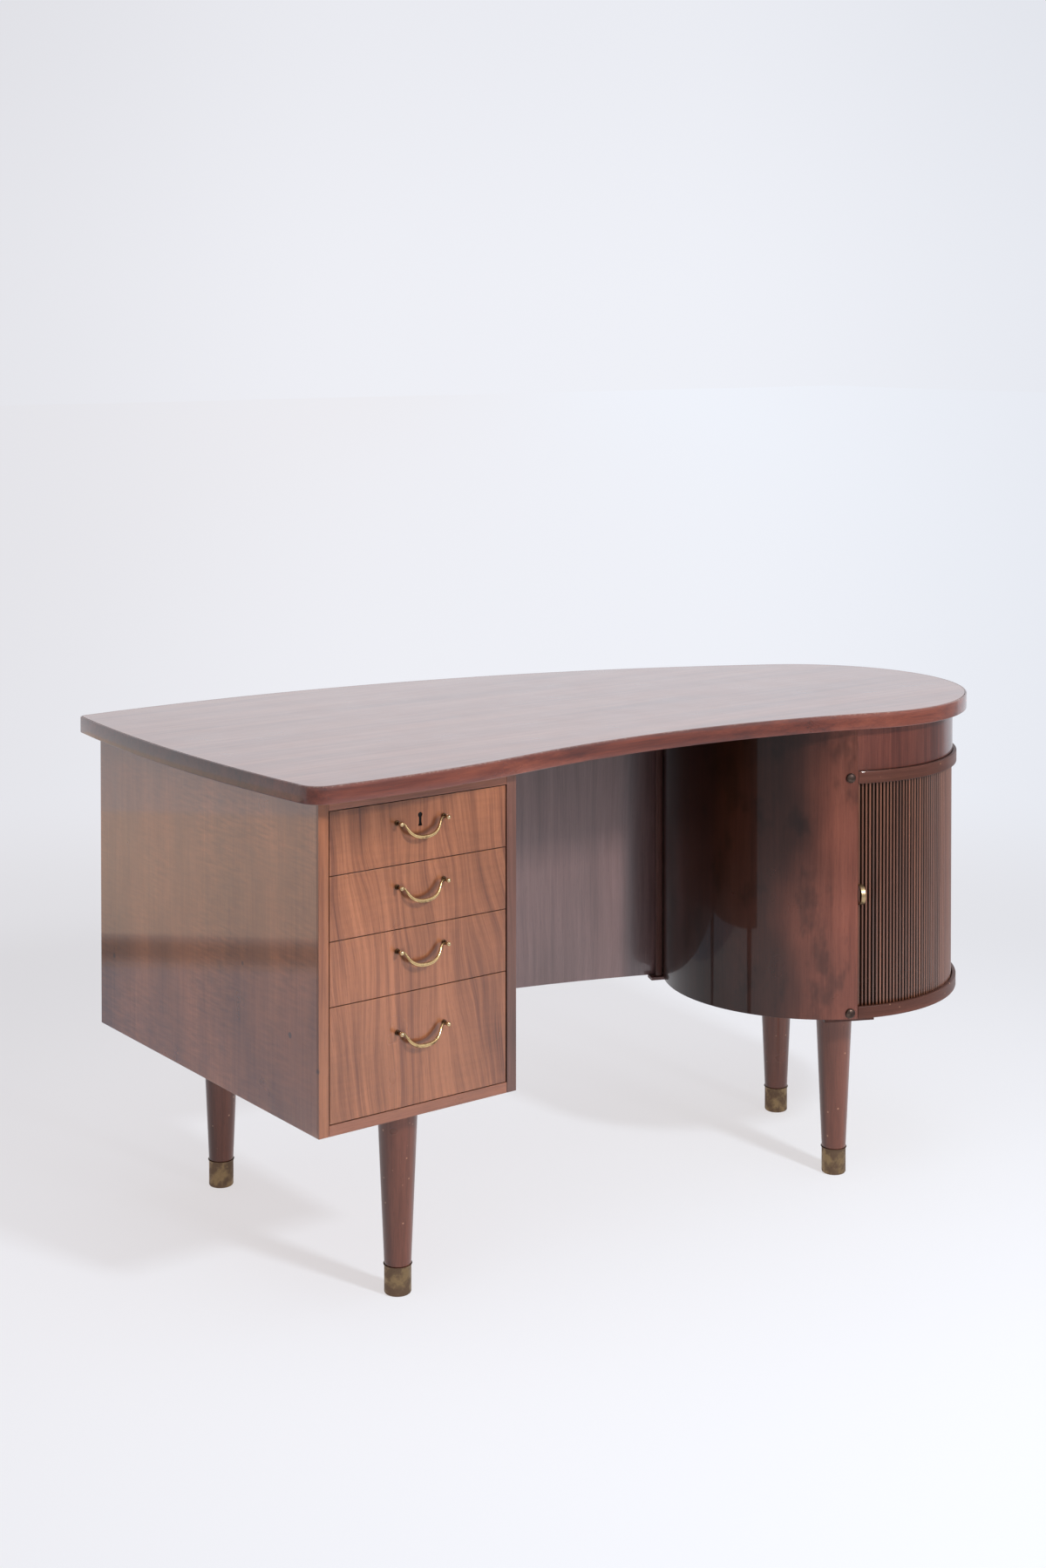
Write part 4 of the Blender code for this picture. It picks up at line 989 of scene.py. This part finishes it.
def post_profile():
    """Give a post's profile, from its foot on the drawer to the tip of its ball."""
    neck = math.degrees(math.asin(STEM_RADIUS / BALL_RADIUS))
    angles = [math.radians(neck + (180 - neck) * step / 12) for step in range(12)]
    ball = [(BALL_RADIUS * math.sin(a), BALL_OUT - BALL_RADIUS * math.cos(a)) for a in angles]
    collar = [(0, 0.0003), (COLLAR_RADIUS - 0.0003, 0.0003), (COLLAR_RADIUS, 0.0007),
              (COLLAR_RADIUS, 0.0014), (COLLAR_RADIUS - 0.0004, 0.0019), (STEM_RADIUS, 0.0022)]
    return collar + ball + [(0, BALL_OUT + BALL_RADIUS)]


first_bail = bail("bail_pattern")
first_post = move_piece(turned("post_pattern", post_profile(), 28), turn=(math.pi / 2, 0, 0))
for number in DRAWERS:
    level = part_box(f"drawer_{number}_bail")[1].z - BAIL_THIN
    pivot = (HANDLE_MIDDLE, DRAWER_FACE - PIVOT_OUT, level)
    swing = copy_piece(first_bail, f"handle_{number}_bail", pivot)
    settle(swing, f"bail_{number}", "bright_brass", "bail_brass", f"drawer_{number}_bail")
    for side, sign in (("left", -1), ("right", 1)):
        place = (HANDLE_MIDDLE + sign * POST_HALF_SPACING, DRAWER_FACE, level)
        standing = copy_piece(first_post, f"handle_{number}_post_{side}", place)
        settle(standing, f"drawer_{number}", "aged_brass", "post_brass",
               f"drawer_{number}_post_{side}")
for pattern in (first_bail, first_post):
    bpy.data.objects.remove(pattern)
print("handles:", len(DRAWERS))

# %% [markdown]
# ## The kneehole panel and the round cabinet
#
# The cabinet's walls are bent plywood. A bent board is the plainest use of Blender's spin: one
# end face, swept round the cabinet's axis. The seam between the two shells hides behind the
# kneehole panel's end, where a bead of glue closes the joint.

# %% Cabinet walls
SEAM = math.radians(138.83)
OPENING_END = math.radians(11.0)
FRIEZE_LAP = math.radians(4.0)
FULL_TURN = 2 * math.pi
JOINT_GAP = 0.0003
SLIT = JOINT_GAP / CABINET_RADIUS
FRIEZE_FACE = 0.2307
FRIEZE_BACK = 0.2227
BEAD_HALF_TURN = math.radians(0.6)
BEAD_RISE = 0.0006

low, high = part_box("shell_front")
shell_levels = (low.z, high.z)
front = bent_board("shell_veneered_front", SHELL_INSIDE, CABINET_RADIUS, SEAM + SLIT,
                   FULL_TURN + OPENING_START, *shell_levels)
settle(front, "carcass", "dark_veneer", "shell_veneer", "shell_front")
back = bent_board("shell_veneered_back", SHELL_INSIDE, CABINET_RADIUS, OPENING_END, SEAM - SLIT,
                  *shell_levels)
settle(back, "carcass", "dark_veneer", "shell_veneer", "shell_back")
low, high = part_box("frieze")
frieze = bent_board("frieze_veneered", FRIEZE_BACK, FRIEZE_FACE, OPENING_START - FRIEZE_LAP,
                    OPENING_END + FRIEZE_LAP, low.z, high.z)
settle(frieze, "carcass", "dark_veneer", "frieze_veneer", "frieze")
for name in ("rail_lower", "rail_upper"):
    low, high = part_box(name)
    rail = bent_board(f"{name}_rounded", SHELL_INSIDE, CABINET_RADIUS, OPENING_START + SLIT,
                      OPENING_END - SLIT, low.z, high.z, 0.0012)
    settle(rail, "carcass", "edge_wood", "rail_wood", name)
settle(eased_copy("kneehole_panel", "modesty_panel", 0.0006),
       "carcass", "dark_veneer", "panel_veneer", "modesty_panel")
settle(eased_copy("kneehole_post", "modesty_post", 0.0004),
       "carcass", "edge_wood", "post_wood", "modesty_post")
settle(eased_copy("leg_plate", "leg_rail", 0.0008),
       "carcass", "edge_wood", "rail_wood", "leg_rail")
polish("beech", "cabinet_shelf", "liner_lower", "liner_upper")
polish("rimmed_beech", "cabinet_floor", "cabinet_ceiling")
bead = bent_board("joint_bead", CABINET_RADIUS - JOINT_GAP, CABINET_RADIUS + BEAD_RISE,
                  SEAM - BEAD_HALF_TURN, SEAM + BEAD_HALF_TURN, *shell_levels, 0.0001, 6)
settle(bead, "carcass", "edge_wood", "post_wood")
print("shell:", [round(value, 3) for value in front.dimensions], "m")

# %% [markdown]
# ## The tambour
#
# A tambour is a row of half-round slats glued to cloth, so that it bends round the groove. One
# slat is cut from a round bar with a bisect, and an array repeats it by a small turn.

# %% Tambour
SLAT_COUNT = 84
SLAT_WIDTH = 0.0053
SLAT_RISE = 0.0042
CLOTH_BACK = 0.2225
CLOTH_FACE = CURTAIN_FACE - SLAT_RISE + 0.0002

low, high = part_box("tambour_curtain")
bpy.ops.object.select_all(action="DESELECT")
bpy.ops.mesh.primitive_cylinder_add(vertices=20, radius=0.5, depth=high.z - low.z,
                                    location=(0, 0, (low.z + high.z) / 2))
slats = bpy.context.active_object
slats.scale = (2 * SLAT_RISE, SLAT_WIDTH, 1.0)
slats = new_piece("tambour_slats")
bpy.ops.object.mode_set(mode="EDIT")
bpy.ops.mesh.select_all(action="SELECT")
bpy.ops.mesh.bisect(plane_co=(0, 0, 0), plane_no=(1, 0, 0), use_fill=True, clear_inner=True)
bpy.ops.object.mode_set(mode="OBJECT")
move_piece(slats, (CURTAIN_FACE - SLAT_RISE, 0, 0))
move_piece(slats, turn=(0, 0, CURTAIN_START + SLAT_PITCH / 2))
bpy.ops.object.empty_add(rotation=(0, 0, SLAT_PITCH))
turn_by = bpy.context.active_object
shape_with(slats, "ARRAY", count=SLAT_COUNT, use_relative_offset=False, use_object_offset=True,
           offset_object=turn_by)
bpy.data.objects.remove(turn_by)
move_piece(slats, CABINET_PLACE)
close_up(slats)
bpy.ops.object.shade_smooth_by_angle(angle=SOFT_ANGLE)
settle(slats, "tambour", "slat_wood", "slat_wood", "tambour_curtain")
cloth = bent_board("tambour_cloth", CLOTH_BACK, CLOTH_FACE, CURTAIN_START,
                   CURTAIN_START + SLAT_COUNT * SLAT_PITCH, low.z, high.z, 0.0003)
settle(cloth, "tambour", "slat_wood", "slat_wood")
settle(eased_copy("tambour_handle", "tambour_pull", 0.0005),
       "tambour", "bright_brass", "pull_brass", "tambour_pull")
print("slats:", SLAT_COUNT)

# %% [markdown]
# Two domed buttons hide the screws that hold the opening's frame. A dome is a quarter of an oval,
# turned; it is made standing up and then tipped over to face out of the shell.

# %% Cover buttons
BUTTON_RADIUS = 0.0075
BUTTON_HEIGHT = 0.0046
BUTTON_FOOT = 0.0006
BUTTON_FROM_EDGE = 0.012
BUTTON_ANGLE = OPENING_START - BUTTON_FROM_EDGE / CABINET_RADIUS
BUTTON_SEAT = CABINET_RADIUS + JOINT_GAP


def dome_profile():
    """Give a dome's profile: a flat foot and a round of nine steps."""
    angles = [math.radians(10 * step) for step in range(10)]
    rise = BUTTON_HEIGHT - BUTTON_FOOT
    curve = [(BUTTON_RADIUS * math.cos(a), BUTTON_FOOT + rise * math.sin(a)) for a in angles]
    return [(0, 0), (BUTTON_RADIUS, 0)] + curve[:-1] + [(0, BUTTON_HEIGHT)]


for name in ("cover_button_lower", "cover_button_upper"):
    low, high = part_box(name)
    button = move_piece(turned(f"{name}_dome", dome_profile(), 40), (BUTTON_SEAT, 0, 0),
                        (0, math.pi / 2, 0))
    move_piece(button, turn=(0, 0, BUTTON_ANGLE))
    move_piece(button, (CABINET_AXIS.x, CABINET_AXIS.y, (low.z + high.z) / 2))
    settle(button, "carcass", "aged_brass", "button_brass", name)
print("cover buttons made")

# %% [markdown]
# ## Legs
#
# Each leg is turned on a lathe: a straight taper, a shoulder, and a spigot inside the ferrule.
# The ferrule is a drawn brass cup with a thin flared lip.

# %% Legs
LEG_TOP = 0.0285
LEG_FOOT = 0.0188
SPIGOT_RADIUS = 0.0173
SPIGOT_FOOT = 0.0033
SPIGOT_HEAD = 0.0408
FERRULE_RADIUS = 0.0188
FERRULE_INSIDE = 0.0176
FERRULE_FOOT = 0.003
LEG_PLACES = ("pedestal_front", "pedestal_back", "cabinet_front", "cabinet_back")


def leg_profile(head):
    """Give a leg's profile, from its spigot's foot to its head."""
    spigot = [(0, SPIGOT_FOOT), (SPIGOT_RADIUS, SPIGOT_FOOT), (SPIGOT_RADIUS, SPIGOT_HEAD)]
    shoulder = [(LEG_FOOT - 0.0005, 0.0413), (LEG_FOOT, 0.0421)]
    crown = [(LEG_TOP - 0.0002, head - 0.0006), (LEG_TOP - 0.0008, head), (0, head)]
    return spigot + shoulder + crown


def ferrule_profile():
    """Give the profile of a brass cup with a rounded foot and a flared lip."""
    angles = [math.radians(15 * step) for step in range(7)]
    foot = [(FERRULE_RADIUS - FERRULE_FOOT * (1 - math.sin(a)), FERRULE_FOOT * (1 - math.cos(a)))
            for a in angles]
    flare = [(FERRULE_RADIUS, 0.0368), (0.01895, 0.0382), (0.0194, 0.0395), (0.0200, 0.0406)]
    rim = [(0.0201, 0.0410), (0.0196, 0.0409), (0.0189, 0.0401), (0.0184, 0.0392)]
    inside = [(FERRULE_INSIDE, 0.0390), (FERRULE_INSIDE, FERRULE_FOOT), (0, FERRULE_FOOT)]
    return [(0, 0)] + foot + flare + rim + inside


for name in LEG_PLACES:
    low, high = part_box(f"leg_{name}")
    place = ((low.x + high.x) / 2, (low.y + high.y) / 2, 0)
    leg = move_piece(turned(f"leg_turned_{name}", leg_profile(high.z)), place)
    settle(leg, "carcass", "leg_wood", "leg_wood", f"leg_{name}")
    ferrule = move_piece(turned(f"ferrule_drawn_{name}", ferrule_profile()), place)
    settle(ferrule, "carcass", "aged_brass", "aged_brass", f"ferrule_{name}")
print("legs:", len(LEG_PLACES))
